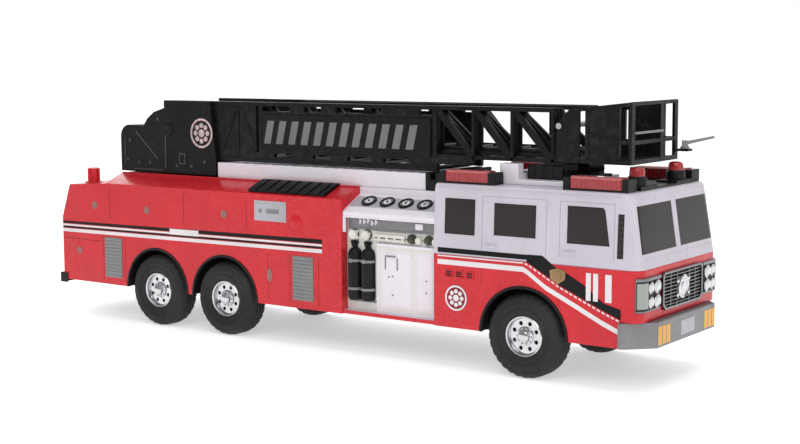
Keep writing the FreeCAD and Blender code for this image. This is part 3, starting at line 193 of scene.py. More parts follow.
LAMP = surface("lamp_clear", (0.62, 0.66, 0.66), 0.12, coat=0.8, vary=0.12, wear=0.0)
SIGNAL = surface("signal_lens", (0.31, 0.34, 0.31), 0.18, coat=0.6, vary=0.12, wear=0.0)
AMBER = surface("amber_print", (0.86, 0.33, 0.03), 0.34, vary=0.14, wear=0.0)
YELLOW = surface("yellow_print", (0.90, 0.62, 0.09), 0.34, vary=0.1, wear=0.0)
BLACK_PRINT = surface("black_print", (0.005, 0.005, 0.006), 0.32, vary=0.3, specular=0.2, wear=0.0)
WHITE_PRINT = surface("white_print", (0.80, 0.76, 0.78), 0.36, vary=0.06, wear=0.0)
GREY_PRINT = surface("grey_print", (0.17, 0.165, 0.165), 0.45, vary=0.14, wear=0.0)
BRONZE = surface("bronze_print", (0.36, 0.22, 0.10), 0.34, metal=0.6, vary=0.25, wear=0.0)
BLUSH = surface("blush_print", (0.56, 0.42, 0.42), 0.45, vary=0.3, patch=300, wear=0.0)
SHADOW = surface("dark_recess", (0.05, 0.006, 0.008), 0.6, vary=0.2, wear=0.0)
SEAM = surface("seam_shade", (0.24, 0.004, 0.008), 0.6, vary=0.2, wear=0.0)
PALE_SEAM = surface("pale_seam", (0.36, 0.34, 0.40), 0.6, vary=0.1, wear=0.0)
TANK = surface("tank_plastic", (0.66, 0.68, 0.70), 0.4, vary=0.06)
CELL = surface("cell_wrap", (0.03, 0.04, 0.12), 0.3, metal=0.3, vary=0.2)
BOARD = surface("board_green", (0.012, 0.10, 0.035), 0.45, vary=0.25, patch=120)
MOSS = surface("fitting_green", (0.05, 0.055, 0.035), 0.4, vary=0.25)


# ---------------------------------------------------------------- mesh building

def spot(axis, a, b, along):
    """A point from two outline coordinates and the one along the axis, in X, Y, Z order."""
    point = [a, b]
    point.insert("xyz".index(axis), along)
    return Vector(point)


class Shape:
    """Geometry in millimetres that ends up as one piece; mat picks the material for what is added next."""

    def __init__(self):
        self.bm = bmesh.new()
        self.mat = 0

    def paint(self, faces):
        for face in faces:
            face.material_index = self.mat

    def prism(self, axis, outline, low, high, holes=()):
        """An extruded outline, with holes through it."""
        edges = []
        for loop in [outline, *holes]:
            ring = [self.bm.verts.new(spot(axis, a, b, low)) for a, b in loop]
            edges += [self.bm.edges.new((ring[i], ring[(i + 1) % len(ring)])) for i in range(len(ring))]
        if holes:
            filled = bmesh.ops.triangle_fill(self.bm, edges=edges, use_beauty=True, use_dissolve=False)
            base = [item for item in filled["geom"] if isinstance(item, bmesh.types.BMFace)]
        else:
            base = [self.bm.faces.new([edge.verts[0] for edge in edges])]
        moved = bmesh.ops.extrude_face_region(self.bm, geom=base, use_keep_orig=True)
        tops = [item for item in moved["geom"] if isinstance(item, bmesh.types.BMVert)]
        bmesh.ops.translate(self.bm, verts=tops, vec=spot(axis, 0, 0, high - low))
        faces = {face for vert in tops for face in vert.link_faces} | set(base)
        self.paint(faces)
        return self

    def block(self, x, y, z):
        return self.prism("z", [(x[0], y[0]), (x[1], y[0]), (x[1], y[1]), (x[0], y[1])], z[0], z[1])

    def lathe(self, axis, centre, profile, steps=40, squash=None):
        """Turns (radius, along) points about an axis. squash(step, radius, along) may change a radius."""
        rings = []
        for radius, along in profile:
            if radius <= 0:
                rings.append([self.bm.verts.new(spot(axis, centre[0], centre[1], along))])
                continue
            ring = []
            for step in range(steps):
                angle = math.tau * step / steps
                reach = squash(step, radius, along) if squash else radius
                ring.append(self.bm.verts.new(spot(axis, centre[0] + reach * math.cos(angle),
                                                   centre[1] + reach * math.sin(angle), along)))
            rings.append(ring)
        faces = []
        for one, two in zip(rings, rings[1:]):
            for i in range(steps):
                j = (i + 1) % steps
                corners = [one[i % len(one)], one[j % len(one)], two[j % len(two)], two[i % len(two)]]
                corners = list(dict.fromkeys(corners))
                if len(corners) > 2:
                    faces.append(self.bm.faces.new(corners))
        for ring in (rings[0], rings[-1]):
            if len(ring) > 1 and rings[0][0] is not rings[-1][0]:
                faces.append(self.bm.faces.new(ring))
        self.paint(faces)
        return self

    def rod(self, axis, centre, radius, low, high, steps=20):
        edge = min(radius * 0.25, abs(high - low) * 0.25, 0.5)
        return self.lathe(axis, centre, [(radius - edge, low), (radius, low + edge),
                                         (radius, high - edge), (radius - edge, high)], steps)

    def tube(self, points, radius, steps=10, closed=False):
        """A round bar along a run of points."""
        line = [Vector(point) for point in points]
        rings = []
        for i, here in enumerate(line):
            before = line[i - 1] if i or closed else here
            after = line[(i + 1) % len(line)] if i + 1 < len(line) or closed else here
            ahead = (after - before).normalized()
            side = ahead.cross(Vector((0, 0, 1)) if abs(ahead.z) < 0.9 else Vector((1, 0, 0))).normalized()
            rise = side.cross(ahead)
            rings.append([self.bm.verts.new(here + radius * (math.cos(math.tau * k / steps) * side
                                                             + math.sin(math.tau * k / steps) * rise))
                          for k in range(steps)])
        faces = []
        pairs = list(zip(rings, rings[1:])) + ([(rings[-1], rings[0])] if closed else [])
        for one, two in pairs:
            for k in range(steps):
                faces.append(self.bm.faces.new((one[k], one[(k + 1) % steps], two[(k + 1) % steps], two[k])))
        if not closed:
            faces += [self.bm.faces.new(rings[0]), self.bm.faces.new(rings[-1])]
        self.paint(faces)
        return self

    def sheet(self, corners, depth):
        """A flat plate from its outer corners (X, Y, Z); depth is the vector to its inner face."""
        outer = [self.bm.verts.new(Vector(corner)) for corner in corners]
        inner = [self.bm.verts.new(Vector(corner) + Vector(depth)) for corner in corners]
        faces = [self.bm.faces.new(outer), self.bm.faces.new(inner[::-1])]
        for i in range(len(outer)):
            j = (i + 1) % len(outer)
            faces.append(self.bm.faces.new((outer[i], inner[i], inner[j], outer[j])))
        self.paint(faces)
        return self

    def moved(self, matrix, start):
        """Transforms everything added after the vertex count start."""
        self.bm.verts.ensure_lookup_table()
        bmesh.ops.transform(self.bm, matrix=matrix, verts=self.bm.verts[start:])
        return self

    def count(self):
        return len(self.bm.verts)

    def mirror(self):
        """Adds the same geometry on the toy's other side."""
        copied = bmesh.ops.duplicate(self.bm, geom=self.bm.verts[:] + self.bm.edges[:] + self.bm.faces[:])
        verts = [item for item in copied["geom"] if isinstance(item, bmesh.types.BMVert)]
        faces = [item for item in copied["geom"] if isinstance(item, bmesh.types.BMFace)]
        for vert in verts:
            vert.co.y = -vert.co.y
        bmesh.ops.reverse_faces(self.bm, faces=faces)
        return self


def finished(name, mesh, body, materials, bevel, angle, replaced):
    """Makes the object: materials, soft edges, smooth shading, and the body it rides on."""
    piece = bpy.data.objects.new(name, mesh)
    bpy.context.scene.collection.objects.link(piece)
    mesh.materials.clear()
    for material in materials:
        mesh.materials.append(material)
    mesh.polygons.foreach_set("use_smooth", [True] * len(mesh.polygons))
    mesh.set_sharp_from_angle(angle=math.radians(angle))
    if bevel:
        soften = piece.modifiers.new("soft_edges", "BEVEL")
        soften.width = bevel * MM
        soften.segments = 2
        soften.limit_method = "ANGLE"
        soften.angle_limit = math.radians(angle)
        soften.harden_normals = True
    if replaced:
        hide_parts(*replaced)
    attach(piece, body)
    return piece


def piece(name, shape, body, *materials, bevel=0.25, angle=38.0, slot=None, replaced=()):
    bmesh.ops.recalc_face_normals(shape.bm, faces=shape.bm.faces[:])
    bmesh.ops.scale(shape.bm, vec=(MM, MM, MM), verts=shape.bm.verts[:])
    mesh = bpy.data.meshes.new(name)
    shape.bm.to_mesh(mesh)
    shape.bm.free()
    return finished(name, mesh, body, materials, bevel, angle, replaced)


def body_name(node):
    return nodes[node]["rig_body"]


def slot_of(node):
    return next(row["material_slot"] for row in frame["record"]["subparts"] if row["node"] == node)


def refined(node, material, bevel=0.6, angle=32.0):
    """A CAD node's own shape with flat faces merged and its edges softened."""
    bm = bmesh.new()
    bm.from_mesh(nodes[node].data)
    if node == "front_bumper":
        # leaves room for the hazard bars inside the toy's length
        for vert in bm.verts:
            vert.co.x = min(vert.co.x, BUMPER_FACE * MM)
    bmesh.ops.remove_doubles(bm, verts=bm.verts[:], dist=2e-6)
    bmesh.ops.dissolve_limit(bm, angle_limit=math.radians(0.5), verts=bm.verts[:], edges=bm.edges[:],
                             use_dissolve_boundaries=False)
    mesh = bpy.data.meshes.new(node + "_skin")
    bm.to_mesh(mesh)
    bm.free()
    for extra in [item.name for item in mesh.attributes if item.name.startswith("custom_normal")]:
        mesh.attributes.remove(mesh.attributes[extra])
    return finished(node + "_skin", mesh, body_name(node), [material], bevel, angle, [node])


def circle(centre, radius, steps=20, start=0.0, end=math.tau, squeeze=1.0):
    """Points on a circle, or on an arc when start and end are given."""
    whole = abs(end - start - math.tau) < 1e-6
    count = steps if whole else steps - 1
    return [(centre[0] + radius * math.cos(start + (end - start) * k / count),
             centre[1] + radius * squeeze * math.sin(start + (end - start) * k / count))
            for k in range(steps)]


def box_of(node):
    low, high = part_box(node)
    return low / MM, high / MM


def wall_side(along, height):
    """The toy's half width at a place: upright, but leaning in on the cab above the belt."""
    cab_rear, belt, roof, roof_side = 158.5, 115.0, 185.0, 82.5
    if along < cab_rear or height <= belt:
        return BODY_SIDE
    return BODY_SIDE - (height - belt) / (roof - belt) * (BODY_SIDE - roof_side)


def decal(shape, outline, lift=SKIN, thick=0.6):
    """A printed patch on the right side from (x, z) corners; mirror() gives the left one."""
    corners = [(x, -(wall_side(x, z) + lift), z) for x, z in outline]
    return shape.sheet(corners, (0, thick, 0))


def slab(x0, x1, z0, z1):
    return [(x0, z0), (x1, z0), (x1, z1), (x0, z1)]


# ---------------------------------------------------------------- shells kept from the CAD

for node, material, width in (
        ("rear_body", RED, 2.2), ("cab_lower", RED, 0.8), ("cab_upper", SHADED_CAB_WHITE, 0.6),
        ("ladder_deck", WHITE, 1.0), ("pump_console", WHITE, 0.9), ("ladder_cradle", WHITE, 1.0),
        ("front_bumper", SILVER, 1.0), ("rear_bumper", BLACK, 0.9), ("chassis", BLACK, 0.4),
        ("roof_rack", BLACK, 0.7), ("light_bar_bases", BLACK, 0.5), ("ladder_rest", BLACK, 0.7),
        ("turret_base", LADDER, 0.6), ("turret_cheek_right", LADDER, 0.7),
        ("turret_cheek_left", LADDER, 0.7), ("turret_hood", LADDER, 0.6),
        ("ladder_base_section", LADDER, 0.4), ("ladder_middle_section", LADDER, 0.3),
        ("ladder_tip_section", LADDER, 0.3), ("bucket_sides", LADDER, 0.4),
        ("bucket_floor", LADDER, 0.3), ("name_plates", LADDER, 0.3), ("pump_panels", CREAM, 0.4),
        ("battery_door", BLACK, 0.3), ("elevation_pin", STEEL, 0.4), ("bucket_pin", STEEL, 0.3)):
    refined(node, material, width)

for node, material in (
        ("front_axle", STEEL), ("middle_axle", STEEL), ("rear_axle", STEEL), ("chassis_screws", STEEL),
        ("turret_ring", BLACK), ("turret_washer", BLACK), ("windscreen", PANE),
        ("side_windows_right", PANE), ("side_windows_left", PANE), ("speaker", BLACK),
        ("circuit_board", BOARD), ("batteries", CELL), ("water_tank", TANK),
        ("nozzle_swivel", GREY), ("nozzle_barrel", GREY)):
    mesh = nodes[node].data
    mesh.materials.clear()
    mesh.materials.append(material)


def make_pump_spring():
    """Coil spring under the pump knob; its foot stays put while the knob goes down."""
    low, high = box_of("pump_spring")
    wire, turns, per_turn = 0.7, 7, 18
    middle = (low + high) / 2
    reach = (high.x - low.x) / 2 - wire
    foot, rise = low.z + wire, high.z - low.z - wire * 2
    steps = [k / per_turn for k in range(turns * per_turn + 1)]
    coil = [(middle.x + reach * math.cos(math.tau * turn), middle.y + reach * math.sin(math.tau * turn),
             foot + rise * turn / turns) for turn in steps]
    spring = piece("pump_spring_coil", Shape().tube(coil, wire), body_name("pump_spring"), STEEL,
                   bevel=0, slot=slot_of("pump_spring"), replaced=["pump_spring"])
    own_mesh(spring)


make_pump_spring()


# ---------------------------------------------------------------- wheels

def make_tyre(name, along, side):
    """Tyre with ribbed sidewalls, three tread grooves and cut shoulder blocks."""
    inner, outer = 59.0, 87.0
    profile = [(20.6, inner + 2.5), (23.0, inner + 0.8), (30.0, inner), (34.5, inner + 0.4),
               (38.8, inner + 2.2), (40.9, inner + 4.8), (41.4, inner + 7.5)]
    for groove in (inner + 9.0, inner + 13.6, inner + 18.2):
        profile += [(41.5, groove - 0.9), (40.4, groove - 0.6), (40.4, groove + 0.6), (41.5, groove + 0.9)]
    profile += [(41.4, outer - 7.5), (40.9, outer - 4.8), (38.8, outer - 2.2), (37.4, outer - 1.2),
                (36.8, outer - 0.9), (36.2, outer - 1.1), (34.5, outer - 0.4), (31.0, outer),
                (28.4, outer - 0.2), (27.9, outer - 0.7), (27.2, outer - 0.7), (26.7, outer - 0.2),
                (23.0, outer - 0.7), (20.6, outer - 2.2), (20.6, inner + 2.5)]

    def lugs(step, radius, spread_along):
        at_shoulder = min(abs(spread_along - inner), abs(outer - spread_along))
        return radius - 0.9 if step % 4 == 0 and radius > 38 and at_shoulder < 8 else radius

    shape = Shape()
    if side == RIGHT:
        profile = [(radius, -y) for radius, y in profile]
    shape.lathe("y", (along, AXLE_HEIGHT), profile, 120, lambda s, r, y: lugs(s, r, abs(y)))
    word = "left" if side == LEFT else "right"
    bmesh.ops.remove_doubles(shape.bm, verts=shape.bm.verts[:], dist=0.001)
    piece(f"{name}_tyre_{word}_rubber", shape, f"{name}_axle_set", RUBBER, bevel=0, angle=42,
          slot="tyre", replaced=[f"{name}_tyre_{word}"])


def make_hub(shape, along, side):
    """Plated truck wheel: rolled rim, dished face with hand holes, nuts and a centre cap."""
    centre = (along, AXLE_HEIGHT)

    def out(y):
        return side * y

    shape.mat = 0
    shape.lathe("y", centre, [(20.5, out(62)), (20.5, out(84.6)), (19.6, out(85.4)), (18.4, out(85.2)),
                              (17.6, out(83.8)), (17.2, out(80.5)), (17.2, out(62))], 56)
    hand_holes = []
    for k in range(8):
        angle = math.tau * (k + 0.5) / 8
        hand_holes.append(circle((along + 13.1 * math.cos(angle), AXLE_HEIGHT + 13.1 * math.sin(angle)),
                                 2.1, 12))
    shape.prism("y", circle(centre, 17.3, 56), out(79.4), out(81.2), hand_holes)
    shape.mat = 1
    shape.lathe("y", centre, [(17.1, out(76)), (17.1, out(77))], 40)
    shape.mat = 0
    shape.lathe("y", centre, [(9.6, out(81.0)), (9.2, out(82.6)), (6.2, out(83.2)), (5.8, out(86.0)),
                              (4.6, out(86.8)), (0, out(87.0))], 32)
    for k in range(10):
        angle = math.tau * k / 10
        nut = (along + 7.7 * math.cos(angle), AXLE_HEIGHT + 7.7 * math.sin(angle))
        shape.lathe("y", nut, [(0.95, out(82.4)), (0.95, out(84.0)), (0.6, out(84.4))], 6)


for name, along in AXLES.items():
    for side in (RIGHT, LEFT):
        make_tyre(name, along, side)
    shape = Shape()
    for side in (RIGHT, LEFT):
        make_hub(shape, along, side)
    piece(f"{name}_plated_hubs", shape, f"{name}_axle_set", CHROME, BLACK, bevel=0.15, angle=40,
          slot="chrome_plate", replaced=[f"{name}_hubs"])


def make_arch_lips():
    """Black lip round each wheel arch."""
    shape = Shape()
    for along in AXLES.values():
        outer = circle((along, AXLE_HEIGHT), ARCH + 2.4, 40, 0.0, math.pi)
        inner = circle((along, AXLE_HEIGHT), ARCH - 0.4, 40, 0.0, math.pi)
        shape.prism("y", outer + inner[::-1], -BODY_SIDE - 0.9, -BODY_SIDE + 2.5)
    piece("wheel_arch_lips", shape.mirror(), "truck", BLACK, bevel=0.3)


make_arch_lips()


# ---------------------------------------------------------------- rear body trim

def make_rear_stripes():
    """Black and white bands that fall a little towards the back, with a plain plate let into them."""
    rear, front, fall = -387.6, 16.0, 3.6

    def band(shape, low, high, thin=0.0, start=rear, end=front, lift=SKIN):
        """A band from its heights at the front; thin narrows it towards the back."""
        def drop(x):
            return fall * (front - x) / (front - rear)

        share = (front - start) / (front - rear)
        decal(shape, [(start, low - drop(start)), (end, low - drop(end)), (end, high - drop(end)),
                      (start, high - drop(start) - thin * share)], lift)

    black, white = Shape(), Shape()
    band(black, 113.8, 118.2, 1.6)
    band(black, 108.4, 110.4)
    band(white, 110.8, 113.0)
    band(white, 103.6, 107.6)
    band(white, 110.4, 117.0, 0.0, -207.0, -162.0, SKIN * 2)
    piece("rear_black_bands", black.mirror(), "truck", BLACK_PRINT, bevel=0.08)
    piece("rear_white_bands", white.mirror(), "truck", WHITE_PRINT, bevel=0.08)


def make_compartments():
    """Panel seams, latches, plates and round hatches on the rear body's sides."""
    seams = Shape()
    for x in (-318.0, -281.0, -60.0, -29.0, 10.5):
        decal(seams, slab(x, x + 0.7, 47, 99.5), 0.08, 0.5)
    for x in (-305.0, -185.0, -90.0):
        decal(seams, slab(x, x + 0.7, 119.5, 158.0), 0.08, 0.5)
    decal(seams, slab(-386.0, -319.0, 92.0, 92.7), 0.08, 0.5)
    piece("compartment_seams", seams.mirror(), "truck", SEAM, bevel=0)

    latches = Shape()
    for x, z, tall in ((-330.6, 135, 9), (-243, 134, 9), (-123, 137, 9), (-359, 79, 8), (-57, 74, 15)):
        half = 4.2 if tall < 12 else 3.4
        latches.prism("y", circle((x, z), half, 20, squeeze=tall / 2 / half), -BODY_SIDE - 0.8,
                      -BODY_SIDE + 0.5)
        latches.prism("y", slab(x - 0.8, x + 0.8, z - tall * 0.32, z + tall * 0.32), -BODY_SIDE - 1.6,
                      -BODY_SIDE - 0.5)
    piece("compartment_latches", latches.mirror(), "truck", LATCH, bevel=0.3)

    plate, spots = Shape(), Shape()
    decal(plate, slab(-78, -33, 133, 155), 0.5, 0.8)
    decal(plate, slab(-75, -36, 136, 152), 0.9, 0.8)
    decal(spots, slab(-60, -42, 141.5, 146.5), 1.1, 0.8)
    spots.prism("y", circle((-68.5, 144), 2.4, 18), -BODY_SIDE - 1.2, -BODY_SIDE)
    piece("side_plates", plate.mirror(), "truck", PALE_GREY, bevel=0.25)
    piece("side_plate_marks", spots.mirror(), "truck", GREY, bevel=0.15)
    bulge = Shape()
    bulge.lathe("y", (-19, 134), [(8.2, -BODY_SIDE + 0.5), (7.6, -BODY_SIDE - 0.9), (5.0, -BODY_SIDE - 1.6),
                                  (0, -BODY_SIDE - 1.8)], 28)
    piece("round_hatches", bulge.mirror(), "truck", RED, bevel=0.2)


def make_shutters():
    """Roll-up shutters drawn as a stack of slats."""
    shape = Shape()
    for rear, front in ((-314, -286), (-24, 4)):
        count, low, high = 12, 50.0, 98.0
        pitch = (high - low) / count
        outline = [(-BODY_SIDE + 0.2, low)]
        for row in range(count):
            base = low + pitch * row
            outline += [(-BODY_SIDE - 0.35, base + 0.3), (-BODY_SIDE - 1.0, base + 1.1),
                        (-BODY_SIDE - 1.0, base + pitch - 0.7), (-BODY_SIDE - 0.35, base + pitch)]
        outline += [(-BODY_SIDE + 0.2, high)]
        shape.prism("x", outline, rear, front)
    piece("shutter_slats", shape.mirror(), "truck", GREY, bevel=0, angle=50,
          slot="grey_plastic", replaced=["shutters"])


def make_louvres():
    """Black ribbed vents on the shoulders."""
    low, high = box_of("louvres")
    shape = Shape()
    section = [(-82.0, 163.0), (-84.7, 165.2), (-84.3, 166.6), (-63.0, 175.2), (-60.6, 175.8),
               (-56.0, 175.8), (-56.0, 172.4), (-58.4, 172.4)]
    grille = [(a + 0.8, b - 1.1) if b > 164 and a < -60 else (a, b) for a, b in section]
    shape.prism("x", grille, low.x, high.x)
    count = 7
    pitch = (high.x - low.x - 4) / count
    for row in range(count):
        shape.prism("x", section, low.x + pitch * row, low.x + pitch * row + pitch * 0.72)
    shape.prism("x", section, high.x - 4, high.x)
    piece("shoulder_vents", shape.mirror(), "truck", BLACK, bevel=0.35, slot="black_plastic",
          replaced=["louvres"])


def make_rear_end():
    """Tail lamps, roll-up door, grab rail and step tread on the back, which the toy has plain."""
    back = -388.0
    lamps, bezels = Shape(), Shape()
    for z, tall in ((62, 9), (74, 9), (86, 9)):
        lamps.prism("x", [(-80, z), (-70, z), (-70, z + tall), (-80, z + tall)], back - 1.6, back + 0.5)
    bezels.prism("x", [(-81.4, 60.4), (-68.6, 60.4), (-68.6, 96.6), (-81.4, 96.6)], back - 0.8, back + 0.5)
    piece("tail_lamps", lamps.mirror(), "truck", LENS, bevel=0.6)
    piece("tail_lamp_frames", bezels.mirror(), "truck", DARK_CHROME, bevel=0.4)
    door = Shape()
    outline = [(back + 0.5, 58.0)]
    for row in range(11):
        base = 58.0 + row * 4.6
        outline += [(back - 0.3, base + 0.3), (back - 1.0, base + 1.2), (back - 1.0, base + 4.0),
                    (back - 0.3, base + 4.6)]
    outline += [(back + 0.5, 58.0 + 11 * 4.6)]
    door.prism("y", outline, -44.0, 44.0)
    piece("rear_door_slats", door, "truck", GREY, bevel=0, angle=50)
    rail = Shape()
    rail.tube([(back + 1, -46, 112.5), (back - 2.6, -44, 112.5), (back - 2.6, 44, 112.5),
               (back + 1, 46, 112.5)], 1.3)
    piece("rear_grab_rail", rail, "truck", CHROME, bevel=0)
    tread = Shape()
    for row in range(27):
        y = -78 + row * 6
        tread.prism("z", [(-393.2, y - 1.6), (-388.4, y - 0.2), (-388.4, y + 1.6), (-393.2, y + 0.2)],
                    49.2, 49.9)
    piece("step_tread", tread, "truck", BLACK, bevel=0.1)


def make_shoulder_edge():
    """The raised bead that runs along the top of the rear body's shoulder, and deck treads."""
    treads = Shape()
    for row in range(19):
        x = -146 + row * 14.2
        treads.prism("z", [(x, -48.5), (x + 5, -48.5), (x + 5, -46.4), (x, -46.4)], 190.3, 190.9)
    piece("deck_treads", treads.mirror(), "truck", WHITE, bevel=0.15)
    bead = Shape()
    bead.prism("x", [(-58.8, 172.9), (-56.6, 172.9), (-56.6, 173.9), (-58.2, 173.9)], -311, 41.6)
    piece("shoulder_beads", bead.mirror(), "truck", RED, bevel=0.2)


make_rear_stripes()
make_compartments()
make_shutters()
make_louvres()
make_rear_end()
make_shoulder_edge()


# ---------------------------------------------------------------- pump panel

PANEL = -76.0


def make_gauges():
    """Four round gauges a side on a grey strip, with bezels, dial marks and needles."""
    slope, middle = math.atan2(14.8, 28.0), 17.0
    strip, bezels, faces, marks, needles = Shape(), Shape(), Shape(), Shape(), Shape()

    def on_slope(x, across, lift):
        """From flat (x, up the slope, out of it) to the right-hand sloping face."""
        foot = Vector((0.0, -82.0, 151.2))
        up = Vector((0.0, math.cos(slope), math.sin(slope)))
        out = Vector((0.0, -math.sin(slope), math.cos(slope)))
        return Matrix.Translation(foot + Vector((x, 0, 0)) + up * across + out * lift) @ Matrix(
            ((1, 0, 0, 0), (0, up.y, out.y, 0), (0, up.z, out.z, 0), (0, 0, 0, 1)))

    start = strip.count()
    strip.block((-55.5, 56.0), (-9.6, 9.4), (0, 0.5))
    strip.moved(on_slope(100.0, middle, 0.0), start)
    for row in range(4):
        seat = on_slope(65 + 23.5 * row, middle, 0.0)
        start = bezels.count()
        bezels.lathe("z", (0, 0), [(8.4, 0), (8.4, 2.3), (7.6, 2.9), (6.9, 2.6), (6.9, 1.2)], 36)
        bezels.moved(seat, start)
        start = faces.count()
        faces.lathe("z", (0, 0), [(7.0, 0.3), (7.0, 1.7), (6.6, 1.8)], 32)
        faces.moved(seat, start)
        start = marks.count()
        for tick in range(9):
            turn = math.radians(-130 + 32.5 * tick)
            a = Vector((math.sin(turn), math.cos(turn), 0))
            b = Vector((a.y, -a.x, 0))
            corners = [a * 6.3 + b * 0.3, a * 6.3 - b * 0.3, a * 5.2 - b * 0.3, a * 5.2 + b * 0.3]
            marks.sheet([corner + Vector((0, 0, 2.0)) for corner in corners], (0, 0, -0.3))
        turn = math.radians(-60 + 35 * row)
        a = Vector((math.sin(turn), math.cos(turn), 0))
        b = Vector((a.y, -a.x, 0))
        marks.lathe("z", (0, 0), [(4.3, 1.6), (4.3, 2.0)], 24)
        marks.moved(seat, start)
        start = needles.count()
        needles.sheet([corner + Vector((0, 0, 2.4)) for corner in
                       (a * 4.0, b * 0.7 - a * 1.6, -a * 1.6 - b * 0.7)], (0, 0, -0.5))
        needles.lathe("z", (0, 0), [(1.3, 1.9), (1.3, 2.5), (0.9, 2.7)], 14)
        needles.moved(seat, start)
    piece("gauge_strips", strip.mirror(), "truck", PALE_GREY, bevel=0.2)
    piece("gauge_bezels", bezels.mirror(), "truck", BLACK, bevel=0, slot="silver_plastic",
          replaced=["gauges"])
    piece("gauge_faces", faces.mirror(), "truck", DIAL, bevel=0)
    piece("gauge_marks", marks.mirror(), "truck", WHITE_PRINT, bevel=0)
    piece("gauge_needles", needles.mirror(), "truck", BLACK_PRINT, bevel=0)


def make_pump_fittings():
    """Grey control recess, caps, manifold and valves over the white cabinet."""
    grey, pale, cream, dark = Shape(), Shape(), Shape(), Shape()
    grey.block((45, 158.3), (PANEL - 0.9, PANEL + 0.2), (133, 145))
    grey.block((45, 158.3), (PANEL - 1.6, PANEL + 0.2), (131.6, 133.2))
    for x, z in ((62, 140), (67, 140), (72, 141.2), (77, 139.2), (82, 140)):
        pale.rod("y", (x, z), 1.5, PANEL - 3.2, PANEL - 0.6, 12)
        pale.block((x - 0.6, x + 0.6), (PANEL - 4.2, PANEL - 2.8), (z - 2.6, z + 2.6))
    pale.block((131, 140), (PANEL - 2.6, PANEL - 0.6), (135.5, 141.5))
    dark.block((126, 157.6), (PANEL - 1.5, PANEL - 0.6), (142.2, 144.6))
    dark.block((60, 86), (PANEL - 1.5, PANEL - 0.6), (143, 144.8))
    cream.block((48, 58), (PANEL - 3.4, PANEL + 0.2), (121, 130.4))
    for x in (53, 69.5):
        dark.rod("y", (x, 126), 5.6, PANEL - 2.6, PANEL - 0.2, 24)
        cream.lathe("y", (x, 126), [(4.7, PANEL - 2), (4.7, PANEL - 6.2), (3.6, PANEL - 7.0),
                                    (2.2, PANEL - 6.6), (0, PANEL - 6.6)], 24)
        for k in range(4):
            turn = math.tau * k / 4 + 0.4
            cream.rod("y", (x + 4.6 * math.cos(turn), 126 + 4.6 * math.sin(turn)), 1.0, PANEL - 6.0,
                      PANEL - 1.0, 8)
    cream.block((78, 121), (PANEL - 2.0, PANEL + 0.2), (120.4, 130.8))
    cream.tube([(80, PANEL - 3.4, 127.0), (119, PANEL - 3.4, 127.0)], 2.0, 14)
    cream.tube([(80, PANEL - 3.2, 122.6), (119, PANEL - 3.2, 122.6)], 1.2, 12)
    for x in (86, 96, 106, 116):
        cream.tube([(x, PANEL - 3.4, 127.0), (x, PANEL - 3.4, 120.8)], 1.5, 12)
    dark.block((79, 120), (PANEL - 2.5, PANEL - 1.4), (124.2, 125.0))
    for x in (126.5, 147.0):
        dark.lathe("y", (x, 125.5), [(5.0, PANEL), (5.0, PANEL - 2.4), (2.6, PANEL - 7.5),
                                     (0, PANEL - 7.7)], 20)
        cream.rod("y", (x + 9.0, 124.5), 3.6, PANEL - 5.0, PANEL, 18)
    piece("panel_control_strips", grey.mirror(), "truck", GREY, bevel=0.2)
    piece("panel_levers", pale.mirror(), "truck", WHITE, bevel=0.2)
    piece("panel_caps", cream.mirror(), "truck", CREAM, bevel=0.2)
    piece("panel_valves", dark.mirror(), "truck", MOSS, bevel=0.2)


def make_cabinet():
    """White cabinet doors with frames, a lever handle and screws, and the painted sill."""
    face = -79.0
    white, seam, sill = Shape(), Shape(), Shape()
    white.block((82, 157.8), (face + 0.4, PANEL + 0.4), (46.0, 118.6))
    white.block((84, 155.8), (face - 0.6, face + 0.6), (115.6, 118.6))
    for x0, x1 in ((88, 128), (131, 154)):
        ring = [(x0, 52), (x1, 52), (x1, 112), (x0, 112)]
        inner = [(x0 + 1.6, 53.6), (x1 - 1.6, 53.6), (x1 - 1.6, 110.4), (x0 + 1.6, 110.4)]
        white.prism("y", ring, face - 0.2, face + 0.5, [inner])
        white.block((x0 + 2.6, x1 - 2.6), (face - 0.1, face + 0.5), (54.6, 109.4))
    seam.block((94, 107), (face - 1.4, face), (105.4, 106.8))
    for x in (93.4, 108.4):
        seam.block((x, x + 1.2), (face - 0.8, face), (92.0, 104.8))
    for x, z in ((98, 84.5), (103, 85.5), (103, 66), (145, 84), (145, 72)):
        seam.rod("y", (x, z), 0.9, face - 1.0, face, 10)
    sill.block((42.2, 158.3), (-84.6, -82.4), (41.9, 45.8))
    floor = Shape()
    floor.block((42.2, 158.3), (-82.6, PANEL), (44.9, 45.9))
    floor.block((42.2, 45.0), (-84.0, -81.0), (128.0, 145.4))
    floor.block((42.2, 158.3), (-83.9, PANEL), (143.6, 145.1))
    piece("pump_cabinets", white.mirror(), "truck", WHITE, bevel=0.25)
    piece("cabinet_marks", seam.mirror(), "truck", GREY, bevel=0.15)
    piece("pump_sills", sill.mirror(), "truck", RED, bevel=0.3)
    piece("pump_recess_edges", floor.mirror(), "truck", WHITE, bevel=0.25)


